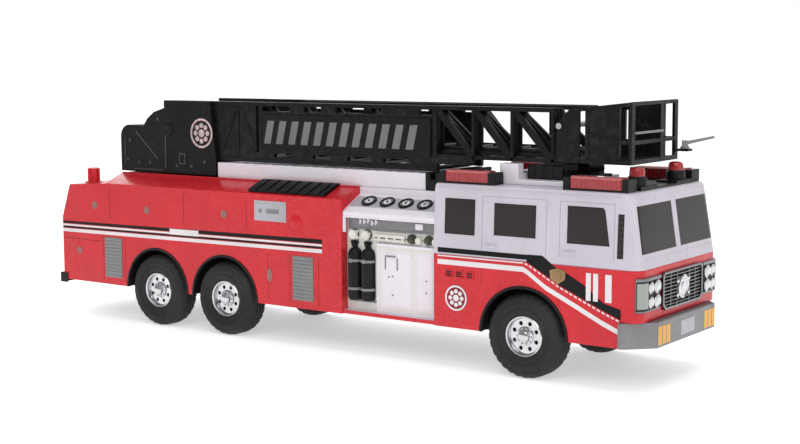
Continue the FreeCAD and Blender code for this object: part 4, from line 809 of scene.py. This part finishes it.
def make_air_bottles():
    """Two strapped bottles a side with domed tops, valves and gauges."""
    bottles, straps = Shape(), Shape()
    centre_y = -77.5
    for x in (54.0, 71.0):
        profile = [(0, 57.2), (6.0, 57.2), (7.6, 58.4), (8.0, 60.5), (8.0, 104.0), (7.6, 107.0),
                   (6.2, 110.0), (3.4, 111.8), (2.6, 113.0), (2.6, 115.2), (0, 115.2)]
        bottles.lathe("z", (x, centre_y), profile, 32)
        bottles.rod("y", (x, 115.4), 2.4, centre_y - 4.6, centre_y + 1.0, 14)
        bottles.rod("x", (centre_y - 1.0, 117.6), 1.8, x - 4.4, x + 4.4, 12)
        for z in (68.0, 97.5):
            straps.lathe("z", (x, centre_y), [(8.0, z), (8.5, z), (8.5, z + 2.6), (8.0, z + 2.6)], 32)
        straps.block((x - 1.8, x + 1.8), (centre_y - 9.2, centre_y - 7.6), (96.9, 100.9))
    straps.block((45.5, 80.0), (PANEL - 1.2, PANEL + 0.2), (55.2, 57.4))
    piece("air_bottles", bottles.mirror(), "truck", BLACK, bevel=0, slot="black_plastic",
          replaced=["air_cylinders"])
    piece("bottle_straps", straps.mirror(), "truck", GREY, bevel=0.15)


make_gauges()
make_pump_fittings()
make_cabinet()
make_air_bottles()


# ---------------------------------------------------------------- cab

def between(points, x):
    """Height of a run of (x, z) points at x."""
    for (x0, z0), (x1, z1) in zip(points, points[1:]):
        if x <= x1:
            return z0 + (z1 - z0) * (x - x0) / (x1 - x0)
    return points[-1][1]


def make_cab_stripes():
    """Belt band, white band and the dashed sweep that runs down to the bumper."""
    black, white, line = Shape(), Shape(), Shape()
    crest = [(266, 121.6), (283, 121.9), (298, 111.5), (310, 107.0), (329, 97.0), (348, 82.5), (366, 78.0)]
    dashes = [(262, 113.2), (268, 111.5), (302, 93.0), (324, 83.5), (345, 74.5), (366, 66.5)]
    broad = [(262, 109.6), (268, 106.5), (286, 94.5), (324, 77.0), (345, 67.0), (366, 58.5)]
    decal(black, slab(163.5, 267, 116.6, 121.4))
    for x in range(266, 366, 2):
        lower = [(x, between(dashes, x) + 2.0), (x + 2, between(dashes, x + 2) + 2.0)]
        decal(black, lower + [(x + 2, between(crest, x + 2)), (x, between(crest, x))], SKIN * 1.2)
    decal(white, slab(163.5, 262, 104.6, 109.6))
    for (x0, z0), (x1, z1) in zip(broad, broad[1:]):
        decal(white, [(x0, z0 - 5.0), (x1, z1 - 4.8), (x1, z1), (x0, z0)])
    decal(line, slab(163.5, 262, 112.6, 113.8))
    for k in range(21):
        x = 264.0 + 4.85 * k
        near, far = between(dashes, x), between(dashes, x + 3.0)
        decal(line, [(x, near - 0.8), (x + 3.0, far - 0.8), (x + 3.0, far + 0.8), (x, near + 0.8)],
              SKIN * 1.6)
    piece("cab_black_sweep", black.mirror(), "truck", BLACK_PRINT, bevel=0)
    piece("cab_white_sweep", white.mirror(), "truck", WHITE_PRINT, bevel=0)
    piece("cab_thin_lines", line.mirror(), "truck", WHITE_PRINT, bevel=0)


def rosette(pale, dark, centre, radius, face, lift):
    """A plain eight-petal disc on a right-hand face."""
    dark.prism("y", circle(centre, radius, 32), -face - lift, -face + 0.3)
    pale.prism("y", circle(centre, radius * 0.98, 32), -face - lift * 2, -face - lift * 0.5,
               [circle(centre, radius * 0.84, 32)])
    for k in range(8):
        turn = math.tau * k / 8
        middle = (centre[0] + radius * 0.52 * math.cos(turn), centre[1] + radius * 0.52 * math.sin(turn))
        pale.prism("y", circle(middle, radius * 0.17, 12), -face - lift * 2, -face - lift * 0.5)
    pale.prism("y", circle(centre, radius * 0.26, 16), -face - lift * 2, -face - lift * 0.5)


def make_cab_badges():
    """Plain badges and number-panel bars, small side vents and door furniture."""
    pale, dark = Shape(), Shape()
    rosette(pale, dark, (185.5, 72), 13.0, BODY_SIDE, 0.35)
    piece("cab_rosette_petals", pale.mirror(), "truck", WHITE_PRINT, bevel=0.05)
    piece("cab_rosette_discs", dark.mirror(), "truck", SEAM, bevel=0.05)
    bronze = Shape()
    bronze.prism("y", [(291.5, 109), (300, 111.5), (308.5, 109), (308, 101), (300, 96), (292, 101)],
                 -BODY_SIDE - 1.0, -BODY_SIDE + 0.3)
    bronze.prism("y", circle((300, 104.4), 4.2, 20), -BODY_SIDE - 1.6, -BODY_SIDE - 0.6)
    piece("cab_shields", bronze.mirror(), "truck", BRONZE, bevel=0.3)
    bars = Shape()
    for x in (330.0, 337.5, 350.0):
        wide = 5.0 if x < 345 else 6.5
        decal(bars, [(x, 83.5), (x + wide, 83.5), (x + wide, 109.5), (x, 109.5)], SKIN * 2)
    piece("cab_panel_bars", bars.mirror(), "truck", WHITE_PRINT, bevel=0.05)
    vents, frames = Shape(), Shape()
    for x in (172.5, 184.5, 197.0):
        vents.block((x + 1.0, x + 7.8), (-BODY_SIDE - 0.2, -BODY_SIDE + 0.5), (93.2, 98.8))
        frames.prism("y", slab(x, x + 8.8, 92.2, 99.8), -BODY_SIDE - 0.9, -BODY_SIDE + 0.3,
                     [slab(x + 1.0, x + 7.8, 93.2, 98.8)])
        for z in (95.0, 97.0):
            frames.block((x + 1.0, x + 7.8), (-BODY_SIDE - 0.7, -BODY_SIDE), (z - 0.3, z + 0.3))
    piece("cab_vent_slots", vents.mirror(), "truck", SHADOW, bevel=0)
    piece("cab_vent_frames", frames.mirror(), "truck", RED, bevel=0.15)
    seams, pale_seams = Shape(), Shape()
    for x, low in ((214.5, 88.0), (300.5, 73.0), (357.5, 48.0)):
        if x < 310:
            decal(seams, slab(x, x + 0.6, low, 103.8), 0.06, 0.5)
    for x in (214.5, 286.0, 300.5, 357.5):
        decal(pale_seams, slab(x, x + 0.6, 122.5, 174.5), 0.06, 0.5)
    decal(pale_seams, slab(214.5, 286.6, 174.5, 175.1), 0.06, 0.5)
    decal(pale_seams, slab(300.5, 358.1, 174.5, 175.1), 0.06, 0.5)
    decal(pale_seams, slab(163.0, 372.0, 114.7, 115.4), 0.06, 0.5)
    piece("cab_door_seams", seams.mirror(), "truck", SEAM, bevel=0)
    piece("cab_upper_seams", pale_seams.mirror(), "truck", PALE_SEAM, bevel=0)
    handles = Shape()
    for x in (219.0, 303.0):
        handles.block((x, x + 15), (-BODY_SIDE - 0.5, -BODY_SIDE + 1.0), (123.4, 129.0))
        handles.block((x + 1.6, x + 13.4), (-BODY_SIDE - 1.9, -BODY_SIDE + 1.0), (125.0, 127.4))
    piece("door_handles", handles.mirror(), "truck", SHADED_CAB_WHITE, bevel=0.4)


def make_window_frames():
    """Thin raised frames round the side windows, and dark slot ribs near the cab's front corners."""
    shape = Shape()

    def frame_ring(loop, grow):
        middle = (sum(p[0] for p in loop) / len(loop), sum(p[1] for p in loop) / len(loop))
        bigger = [(x + grow * (1 if x > middle[0] else -1), z + grow * (1 if z > middle[1] else -1))
                  for x, z in loop]
        for i in range(len(loop)):
            j = (i + 1) % len(loop)
            quad = [loop[i], loop[j], bigger[j], bigger[i]]
            decal(shape, quad, 0.35, 1.2)

    frame_ring(slab(171, 206.5, 135.5, 171), 1.3)
    frame_ring(slab(228, 275, 137.5, 169), 1.3)
    frame_ring([(308.5, 135.5), (353.5, 135.5), (348, 168.5), (345.5, 171), (308.5, 171)], 1.3)
    piece("side_window_frames", shape.mirror(), "truck", SHADED_CAB_WHITE, bevel=0.15)
    slots = Shape()
    for z in range(8):
        height = 128.5 + z * 5.0
        slots.block((361.2, 367.3), (0.4 - wall_side(364, height), 3.0 - wall_side(364, height)),
                    (height - 0.5, height + 0.5))
    piece("corner_slot_ribs", slots.mirror(), "truck", GASKET, bevel=0.1)


def front_face(height):
    """X of the cab's leaning front at a height."""
    belt, roof, lean = 115.0, 185.0, 10.5
    return 385.0 - max(0.0, height - belt) / (roof - belt) * lean


def corner_path(offset, start, turn, steps=8):
    """Plan points (x, y) round the cab's right front corner, from y=start to an angle past the bend."""
    radius = 12.0
    points = [(385.0 + offset, start), (385.0 + offset, -(BODY_SIDE - radius))]
    for k in range(1, steps + 1):
        angle = turn * k / steps
        points.append((385.0 - radius + (radius + offset) * math.cos(angle),
                       -(BODY_SIDE - radius) - (radius + offset) * math.sin(angle)))
    return points


def bent_plate(shape, offset, depth, start, turn, low, high):
    """A plate that wraps round the right front corner."""
    outer = corner_path(offset, start, turn)
    inner = corner_path(offset - depth, start, turn)
    shape.prism("z", outer + inner[::-1], low, high)


def make_front():
    """Headlamp clusters wrapping the corners, grille and front badge disc."""
    turn = math.radians(58)
    bezel, dark, lamp, signal, chrome = Shape(), Shape(), Shape(), Shape(), Shape()
    bent_plate(bezel, 1.4, 2.0, -47.0, turn, 76.0, 108.0)
    bent_plate(dark, 1.9, 1.2, -48.2, turn * 0.94, 78.0, 106.2)
    bent_plate(bezel, 2.6, 1.6, -47.0, turn, 104.8, 107.8)
    bent_plate(bezel, 2.3, 1.6, -47.0, turn, 76.2, 78.0)
    for z in (84.5, 98.0):
        lamp.lathe("x", (-55.5, z), [(5.4, 386.0), (5.4, 387.6), (4.6, 388.6), (2.6, 389.1), (0, 389.3)], 28)
        chrome.lathe("x", (-55.5, z), [(6.5, 386.0), (6.5, 388.3), (5.9, 388.8), (5.3, 388.2),
                                       (5.3, 386.0)], 28)
        lamp.lathe("x", (-68.0, z), [(4.6, 386.0), (4.6, 387.4), (3.8, 388.3), (0, 388.9)], 26)
        chrome.lathe("x", (-68.0, z), [(5.7, 386.0), (5.7, 388.0), (5.1, 388.5), (4.5, 387.9),
                                       (4.5, 386.0)], 26)
    outer = corner_path(2.9, -75.0, turn * 0.9)[1:]
    inner = corner_path(0.8, -75.0, turn * 0.9)[1:]
    signal.prism("z", outer + inner[::-1], 79.5, 103.5)
    piece("headlamp_housings", bezel.mirror(), "truck", DARK_CHROME, bevel=0.3, slot="lamp_plastic",
          replaced=["headlamps"])
    piece("headlamp_wells", dark.mirror(), "truck", BLACK, bevel=0.2)
    piece("headlamp_glasses", lamp.mirror(), "truck", LAMP, bevel=0)
    piece("headlamp_rings", chrome.mirror(), "truck", CHROME, bevel=0)
    piece("turn_signals", signal.mirror(), "truck", SIGNAL, bevel=0.3)

    rim, mesh_back, bars, badge = Shape(), Shape(), Shape(), Shape()
    half, low, high = 44.0, 73.0, 109.0
    outline = [(-half, low + 5), (-half + 5, low), (half - 5, low), (half, low + 5),
               (half, high - 3), (half - 3, high), (-half + 3, high), (-half, high - 3)]
    inside = [(y * 0.945, 91 + (z - 91) * 0.87) for y, z in outline]
    rim.prism("x", outline, 384.5, 388.6, [inside])
    mesh_back.prism("x", [(y * 0.96, 91 + (z - 91) * 0.9) for y, z in outline], 384.6, 386.0)
    for row in range(9):
        z = 77.5 + row * 3.35
        bars.tube([(387.0, -half + 3, z), (387.6, -20, z), (387.8, 0, z), (387.6, 20, z),
                   (387.0, half - 3, z)], 0.75, 8)
    for y in (-27.0, -13.5, 13.5, 27.0):
        bars.block((386.0, 388.0), (y - 0.5, y + 0.5), (low + 2, high - 2))
    badge.lathe("x", (0, 91), [(11.5, 386.5), (11.5, 388.8), (10.3, 389.5), (9.4, 389.0), (8.8, 388.4),
                               (4.6, 388.6), (4.0, 389.4), (0, 389.8)], 36)
    for k in range(4):
        angle = math.tau * (k + 0.5) / 4
        badge.lathe("x", (15.4 * math.cos(angle) * 1.1, 91 + 9.6 * math.sin(angle)),
                    [(2.4, 387.0), (2.4, 388.6), (1.6, 389.2), (0, 389.3)], 16)
    piece("grille_frame", rim, "truck", DARK_CHROME, bevel=0.5, slot="chrome_plate", replaced=["grille"])
    piece("grille_back", mesh_back, "truck", BLACK, bevel=0.1)
    piece("grille_bars", bars, "truck", DARK_CHROME, bevel=0)
    piece("grille_disc", badge, "truck", CHROME, bevel=0)


def make_bumper_marks():
    """Orange hazard bars with yellow edges, a tread and a plain plate on the bumper."""
    face = BUMPER_FACE + 0.35
    yellow, orange = Shape(), Shape()
    for k in range(3):
        y = -63.0 + k * 8.8
        yellow.block((face - 0.4, face - 0.08), (y, y + 6.4), (44.2, 61.6))
        orange.block((face - 0.4, face), (y + 1.2, y + 5.2), (44.2, 61.6))
    piece("bumper_yellow_bars", yellow.mirror(), "truck", YELLOW, bevel=0)
    piece("bumper_orange_bars", orange.mirror(), "truck", AMBER, bevel=0)
    ribs = Shape()
    for row in range(21):
        y = -60 + row * 6
        ribs.block((386.4, 392.0), (y - 1.7, y + 1.7), (65.8, 66.5))
    piece("bumper_tread", ribs, "truck", SILVER, bevel=0.2)
    plate = Shape()
    plate.block((face - 0.4, face), (-15, 15), (46.5, 60))
    piece("bumper_plate", plate, "truck", PALE_GREY, bevel=0.05)


def make_windscreen_ledge():
    """The ledge under the windscreen."""
    ledge = Shape()
    ledge.prism("y", [(front_face(124) - 0.3, 122.6), (front_face(124) + 0.8, 123.0),
                      (front_face(125) + 0.8, 124.2), (front_face(125) - 0.3, 124.8)], -70, 70)
    piece("windscreen_ledge", ledge, "truck", SHADED_CAB_WHITE, bevel=0.2)


make_cab_stripes()
make_cab_badges()
make_window_frames()
make_front()
make_bumper_marks()
make_windscreen_ledge()


# ---------------------------------------------------------------- roof

def make_roof_lights():
    """Ribbed red lenses on the light bars with a painted highlight strip along their tops, and fluted beacons.
    """
    lenses, glints = Shape(), Shape()
    for rear, front in ((159.5, 224.0), (300.0, 368.0)):
        x0, x1 = rear + 7.1, front - 7.1
        section = [(-76.4, 186.6), (-61.6, 186.6), (-61.6, 196.4), (-63.6, 198.4), (-74.4, 198.4),
                   (-76.4, 196.4)]
        lenses.prism("x", section, x0, x1)
        count = 12
        for row in range(count):
            x = x0 + (x1 - x0) * (row + 0.5) / count
            lenses.block((x - 0.9, x + 0.9), (-76.9, -61.1), (187.6, 195.6))
        # paler strip along each lens top: a painted highlight
        glints.block((x0 + 2, x1 - 2), (-76.7, -61.3), (196.0, 196.9))
    piece("bar_lenses", lenses.mirror(), "truck", LENS, bevel=0.3, slot="red_lens",
          replaced=["light_bar_lenses"])
    piece("bar_lens_trims", glints.mirror(), "truck", LENS_GLINT_PAINT, bevel=0.2)
    domes, seats = Shape(), Shape()
    centre = (359.0, -42.0)
    domes.lathe("z", centre, [(7.3, 197.2), (7.4, 202.6), (6.6, 204.9), (4.6, 206.1), (0, 206.5)], 48,
                lambda step, radius, z: radius - (0.35 if step % 4 < 2 and radius > 5 else 0))
    seats.lathe("z", centre, [(9.0, 195.9), (9.0, 197.0), (8.0, 197.8), (7.0, 197.8)], 32)
    piece("beacon_domes", domes.mirror(), "truck", LENS, bevel=0, slot="red_lens", replaced=["beacons"])
    piece("beacon_seats", seats.mirror(), "truck", BLACK, bevel=0)


def make_roof_details():
    """Horn grilles, rack rails and the cradle's pads."""
    shape = Shape()
    for y in (-36.5, -28.0, -19.5):
        shape.lathe("x", (y, 196.5), [(3.4, 278.0), (3.4, 282.0), (2.6, 283.0), (2.2, 281.4), (0, 281.0)], 20)
    for x in (246.0, 256.0, 266.0):
        shape.block((x, x + 4), (-44.8, -11.4), (191.8, 204.2))
    for x in (296.0, 312.0, 328.0):
        shape.tube([(x, -38, 186.8), (x, 38, 186.8)], 1.4, 10)
    shape = shape.mirror()
    piece("roof_equipment", shape, "truck", BLACK, bevel=0.4)
    pads = Shape()
    pads.block((219, 238), (-46.2, -34), (195.8, 196.8))
    piece("cradle_pads", pads.mirror(), "truck", BLACK, bevel=0.3)
    edge = Shape()
    edge.prism("x", [(-83.6, 180.4), (-82.6, 180.4), (-82.2, 181.6), (-83.3, 181.6)], 164.0, 362.0)
    piece("roof_drip_rails", edge.mirror(), "truck", SHADED_CAB_WHITE, bevel=0.2)


make_roof_lights()
make_roof_details()


# ---------------------------------------------------------------- turret and ladder

def make_turret_details():
    """Ribs, bolts, a lamp box and a plain rosette on the turret's cheeks."""
    face = 50.0
    ribs = Shape()
    for (x0, z0), (x1, z1), wide in (((-246, 181), (-246, 228), 0.9), ((-295, 223), (-259, 191), 0.9),
                                     ((-313, 183), (-313, 214), 0.7), ((-300, 178), (-252, 178), 0.7)):
        along = Vector((x1 - x0, z1 - z0)).normalized() * wide
        ribs.sheet([(x0 - along.y, -face - 0.8, z0 + along.x), (x1 - along.y, -face - 0.8, z1 + along.x),
                    (x1 + along.y, -face - 0.8, z1 - along.x), (x0 + along.y, -face - 0.8, z0 - along.x)],
                   (0, 1.2, 0))
    for x, z in ((-309, 189), (-290, 186), (-272, 186), (-305, 212), (-258, 238), (-228, 184),
                 (-205, 184), (-184, 190)):
        ribs.lathe("y", (x, z), [(2.2, -face + 0.2), (2.2, -face - 0.6), (1.6, -face - 1.1),
                                 (0, -face - 1.2)], 16)
    ribs.prism("y", slab(-224, -214, 186, 199), -face - 1.0, -face + 0.2, [slab(-222.4, -215.6, 187.6, 197.4)])
    piece("turret_ribs", ribs.mirror(), "turret", DARK_GREY, bevel=0.15)
    pale, dark = Shape(), Shape()
    rosette(pale, dark, (-188, 223), 17.5, face, 0.4)
    piece("turret_rosette_petals", pale.mirror(), "turret", BLUSH, bevel=0.05)
    piece("turret_rosette_discs", dark.mirror(), "turret", BLACK, bevel=0.05)
    caps = Shape()
    caps.lathe("y", (-243, 225), [(7.0, -51.8), (7.0, -52.6), (5.6, -53.2), (4.4, -52.9), (0, -52.9)], 28)
    piece("pivot_caps", caps.mirror(), "turret", BLACK, bevel=0)
    back = Shape()
    for z in (192.0, 200.0, 208.0):
        back.block((-321.7, -320.6), (-34, 34), (z, z + 3.4))
    piece("hood_vents", back, "turret", DARK_GREY, bevel=0.3)


def make_ladder_details():
    """Grey pattern on the side plates, plate borders, rails and round rungs."""
    marks, frame_lines = Shape(), Shape()
    face = 46.1
    x = -97.0
    for k in range(12):
        marks.sheet([(x, -face - 0.5, 214.0), (x + 9.5, -face - 0.5, 214.0),
                     (x + 15.5, -face - 0.5, 239.5), (x + 6.0, -face - 0.5, 239.5)], (0, 0.8, 0))
        x += 17.6
    frame_lines.prism("y", slab(-102.4, 127.4, 207.1, 245.9), -face - 0.6, -face + 0.2,
                      [slab(-100.8, 125.8, 208.7, 244.3)])
    piece("plate_bars", marks.mirror(), "ladder_base", GREY_PRINT, bevel=0.1)
    piece("plate_borders", frame_lines.mirror(), "ladder_base", LADDER, bevel=0.15)
    rails = Shape()
    rails.block((-236, 271.6), (-45.6, -44.2), (255.8, 259.8))
    rails.block((-150, 134), (-45.4, -44.2), (193.0, 196.6))
    rails.block((178, 271.6), (-45.4, -44.2), (206.7, 210.4))
    for x in (-138.0, 131.4, 177.1, 222.7, 268.4):
        low = 197.0 if x < 100 else 207.0
        rails.block((x, x + 3.2), (-45.4, -44.2), (low, 256.2))
    for x0, z0, x1, z1 in ((-163, 206, -142, 252), (-134, 252, -113, 206)):
        rails.sheet([(x0, -45.3, z0), (x0 + 5, -45.3, z0), (x1 + 5, -45.3, z1), (x1, -45.3, z1)],
                    (0, 1.0, 0))
    piece("ladder_outer_rails", rails.mirror(), "ladder_base", LADDER, bevel=0.3)
    rungs = Shape()
    for row in range(11):
        x = -138 + row * 25.5
        rungs.tube([(x, -39.0, 194.8), (x, 39.0, 194.8)], 1.6, 10)
    for row in range(4):
        x = 188 + row * 26.5
        rungs.tube([(x, -39.0, 208.2), (x, 39.0, 208.2)], 1.5, 10)
    piece("base_round_rungs", rungs, "ladder_base", GREY, bevel=0)
    rungs = Shape()
    for row in range(8):
        x = -79 + row * 46.6
        rungs.tube([(x, -34.2, 212.5), (x, 34.2, 212.5)], 1.3, 10)
    piece("middle_round_rungs", rungs, "ladder_middle", GREY, bevel=0)
    rungs = Shape()
    for row in range(8):
        x = -78 + row * 46.6
        rungs.tube([(x, -29.6, 216.0), (x, 29.6, 216.0)], 1.3, 10)
    piece("tip_round_rungs", rungs, "ladder_tip", GREY, bevel=0)


def make_bucket_details():
    """Ribs, a floor grating, hand rails and hinge bosses on the bucket."""
    ribs = Shape()
    face = 50.0
    for x, low, high in ((310.5, 212, 258.0), (341.5, 212, 261.5)):
        ribs.block((x, x + 1.6), (-face - 0.7, -face + 0.2), (low, high))
    ribs.block((310, 343), (-face - 0.7, -face + 0.2), (211.5, 213.3))
    ribs.block((312, 342), (-face - 0.6, -face + 0.2), (234.0, 235.2))
    ribs.lathe("y", (280, 243), [(4.6, -face + 0.2), (4.6, -face - 0.5), (3.1, -face - 0.5)], 24)
    piece("bucket_ribs", ribs.mirror(), "bucket", LADDER, bevel=0.2)
    grate = Shape()
    for row in range(6):
        x = 319 + row * 6.0
        grate.block((x, x + 1.4), (-44, 44), (211.0, 212.0))
    piece("bucket_grating", grate, "bucket", LADDER, bevel=0.15)
    rail = Shape()
    rail.tube([(353.0, -44, 238), (358.6, -44, 238), (358.6, 13, 238), (353.0, 13, 238)], 1.2, 10)
    piece("bucket_hand_rail", rail, "bucket", GREY, bevel=0)


def make_pump_knob():
    """Red push knob with a ringed top."""
    centre = (-357.0, -62.0)
    shape = Shape()
    shape.lathe("z", centre, [(9.2, 151.8), (9.2, 154.8), (7.5, 154.8), (7.5, 175.6), (6.9, 176.7),
                              (5.4, 177.0), (5.0, 176.4), (3.2, 176.4), (2.8, 176.9), (0, 176.9)], 40)
    piece("pump_push_knob", shape, "knob", RED, bevel=0, slot="red_plastic", replaced=["pump_knob"])
    collar = Shape()
    collar.lathe("z", centre, [(11.0, 158.0), (11.0, 160.1), (10.2, 160.7), (8.4, 160.7), (8.1, 160.1),
                               (8.1, 158.0)], 36)
    piece("knob_collar", collar, "truck", RED, bevel=0)


make_turret_details()
make_ladder_details()
make_bucket_details()
make_pump_knob()


# ---------------------------------------------------------------- underside

def make_underside():
    """Ribs on the battery door, and two round bosses under the chassis."""
    shape = Shape()
    for row in range(9):
        x = -50 + row * 10
        shape.block((x, x + 2), (-32, 32), (35.5, 36.2))
    piece("battery_door_ribs", shape, "truck", BLACK, bevel=0.15)
    plates = Shape()
    for x in (-340.0, 316.0):
        plates.lathe("z", (x, 0), [(9.0, 36.3), (9.0, 35.2), (6.5, 34.8), (0, 34.8)], 24)
    piece("chassis_bosses", plates, "truck", BLACK, bevel=0)


make_underside()


# ---------------------------------------------------------------- studio

def make_stage():
    """A pale floor that curves up into a backdrop well behind the toy."""
    bm = bmesh.new()
    profile = [(-4.0, 0.0), (3.0, 0.0)]
    profile += [(3.0 + 2.0 * math.sin(t), 2.0 - 2.0 * math.cos(t))
                for t in [math.pi / 2 * k / 12 for k in range(1, 13)]]
    profile += [(5.0, 8.0)]
    rows = [[bm.verts.new((across, back, up)) for across in (-9.0, 9.0)] for back, up in profile]
    for one, two in zip(rows, rows[1:]):
        bm.faces.new((one[0], one[1], two[1], two[0]))
    mesh = bpy.data.meshes.new("studio_floor")
    bm.to_mesh(mesh)
    bm.free()
    mesh.polygons.foreach_set("use_smooth", [True] * len(mesh.polygons))
    floor = bpy.data.objects.new("studio_floor", mesh)
    floor.rotation_euler = (0, 0, math.radians(36))
    bpy.context.scene.collection.objects.link(floor)
    paint = surface("studio_white", (0.92, 0.92, 0.92), 0.7, vary=0.005, patch=1.0, grain=300, bump=0.0,
                    wear=0.0)
    shader = paint.node_tree.nodes["Principled BSDF"]
    shader.inputs["Emission Color"].default_value = (1.0, 1.0, 1.0, 1.0)
    shader.inputs["Emission Strength"].default_value = 0.50
    mesh.materials.append(paint)


def add_light(name, place, size, power, target=(0.0, 0.0, 0.12), colour=(1, 1, 1)):
    data = bpy.data.lights.new(name, "AREA")
    data.shape = "RECTANGLE"
    data.size, data.size_y = size
    data.energy = power
    data.color = colour
    light = bpy.data.objects.new(name, data)
    light.location = place
    aim = Vector(target) - Vector(place)
    light.rotation_euler = aim.to_track_quat("-Z", "Y").to_euler()
    bpy.context.scene.collection.objects.link(light)


def make_lights():
    add_light("key_softbox", (0.9, -1.9, 1.7), (1.8, 1.4), 18)
    add_light("top_softbox", (0.0, 0.1, 2.3), (2.6, 2.0), 20)
    add_light("front_fill", (2.3, -0.6, 0.8), (1.4, 1.4), 7.5)
    add_light("rear_fill", (-2.0, 1.2, 1.3), (1.6, 1.4), 9)
    world = bpy.data.worlds.new("studio_world")
    world.use_nodes = True
    back = world.node_tree.nodes["Background"]
    back.inputs["Color"].default_value = (1.0, 1.0, 1.0, 1.0)
    back.inputs["Strength"].default_value = 0.32
    bpy.context.scene.world = world
    bpy.context.scene.view_settings.view_transform = "Standard"


def make_camera():
    """Three-quarter front view from the toy's right, a little above it."""
    turn, rise, roll = math.radians(36.24), math.radians(6.26), math.radians(-0.36)
    back = Vector((math.sin(turn) * math.cos(rise), -math.cos(turn) * math.cos(rise), math.sin(rise)))
    across = (-back).cross(Vector((0, 0, 1))).normalized()
    up = across.cross(-back)
    level_across = math.cos(roll) * across + math.sin(roll) * up
    level_up = -math.sin(roll) * across + math.cos(roll) * up
    data = bpy.data.cameras.new("studio_camera")
    data.sensor_width = 36.0
    data.lens = 65.4
    data.shift_x, data.shift_y = 0.0203, -0.0139
    data.clip_start, data.clip_end = 0.05, 50.0
    camera = bpy.data.objects.new("studio_camera", data)
    place = Matrix((level_across, level_up, back)).transposed().to_4x4()
    place.translation = (0.9684, -1.2746, 0.3152)
    camera.matrix_world = place
    bpy.context.scene.collection.objects.link(camera)
    bpy.context.scene.camera = camera


make_stage()
make_lights()
make_camera()
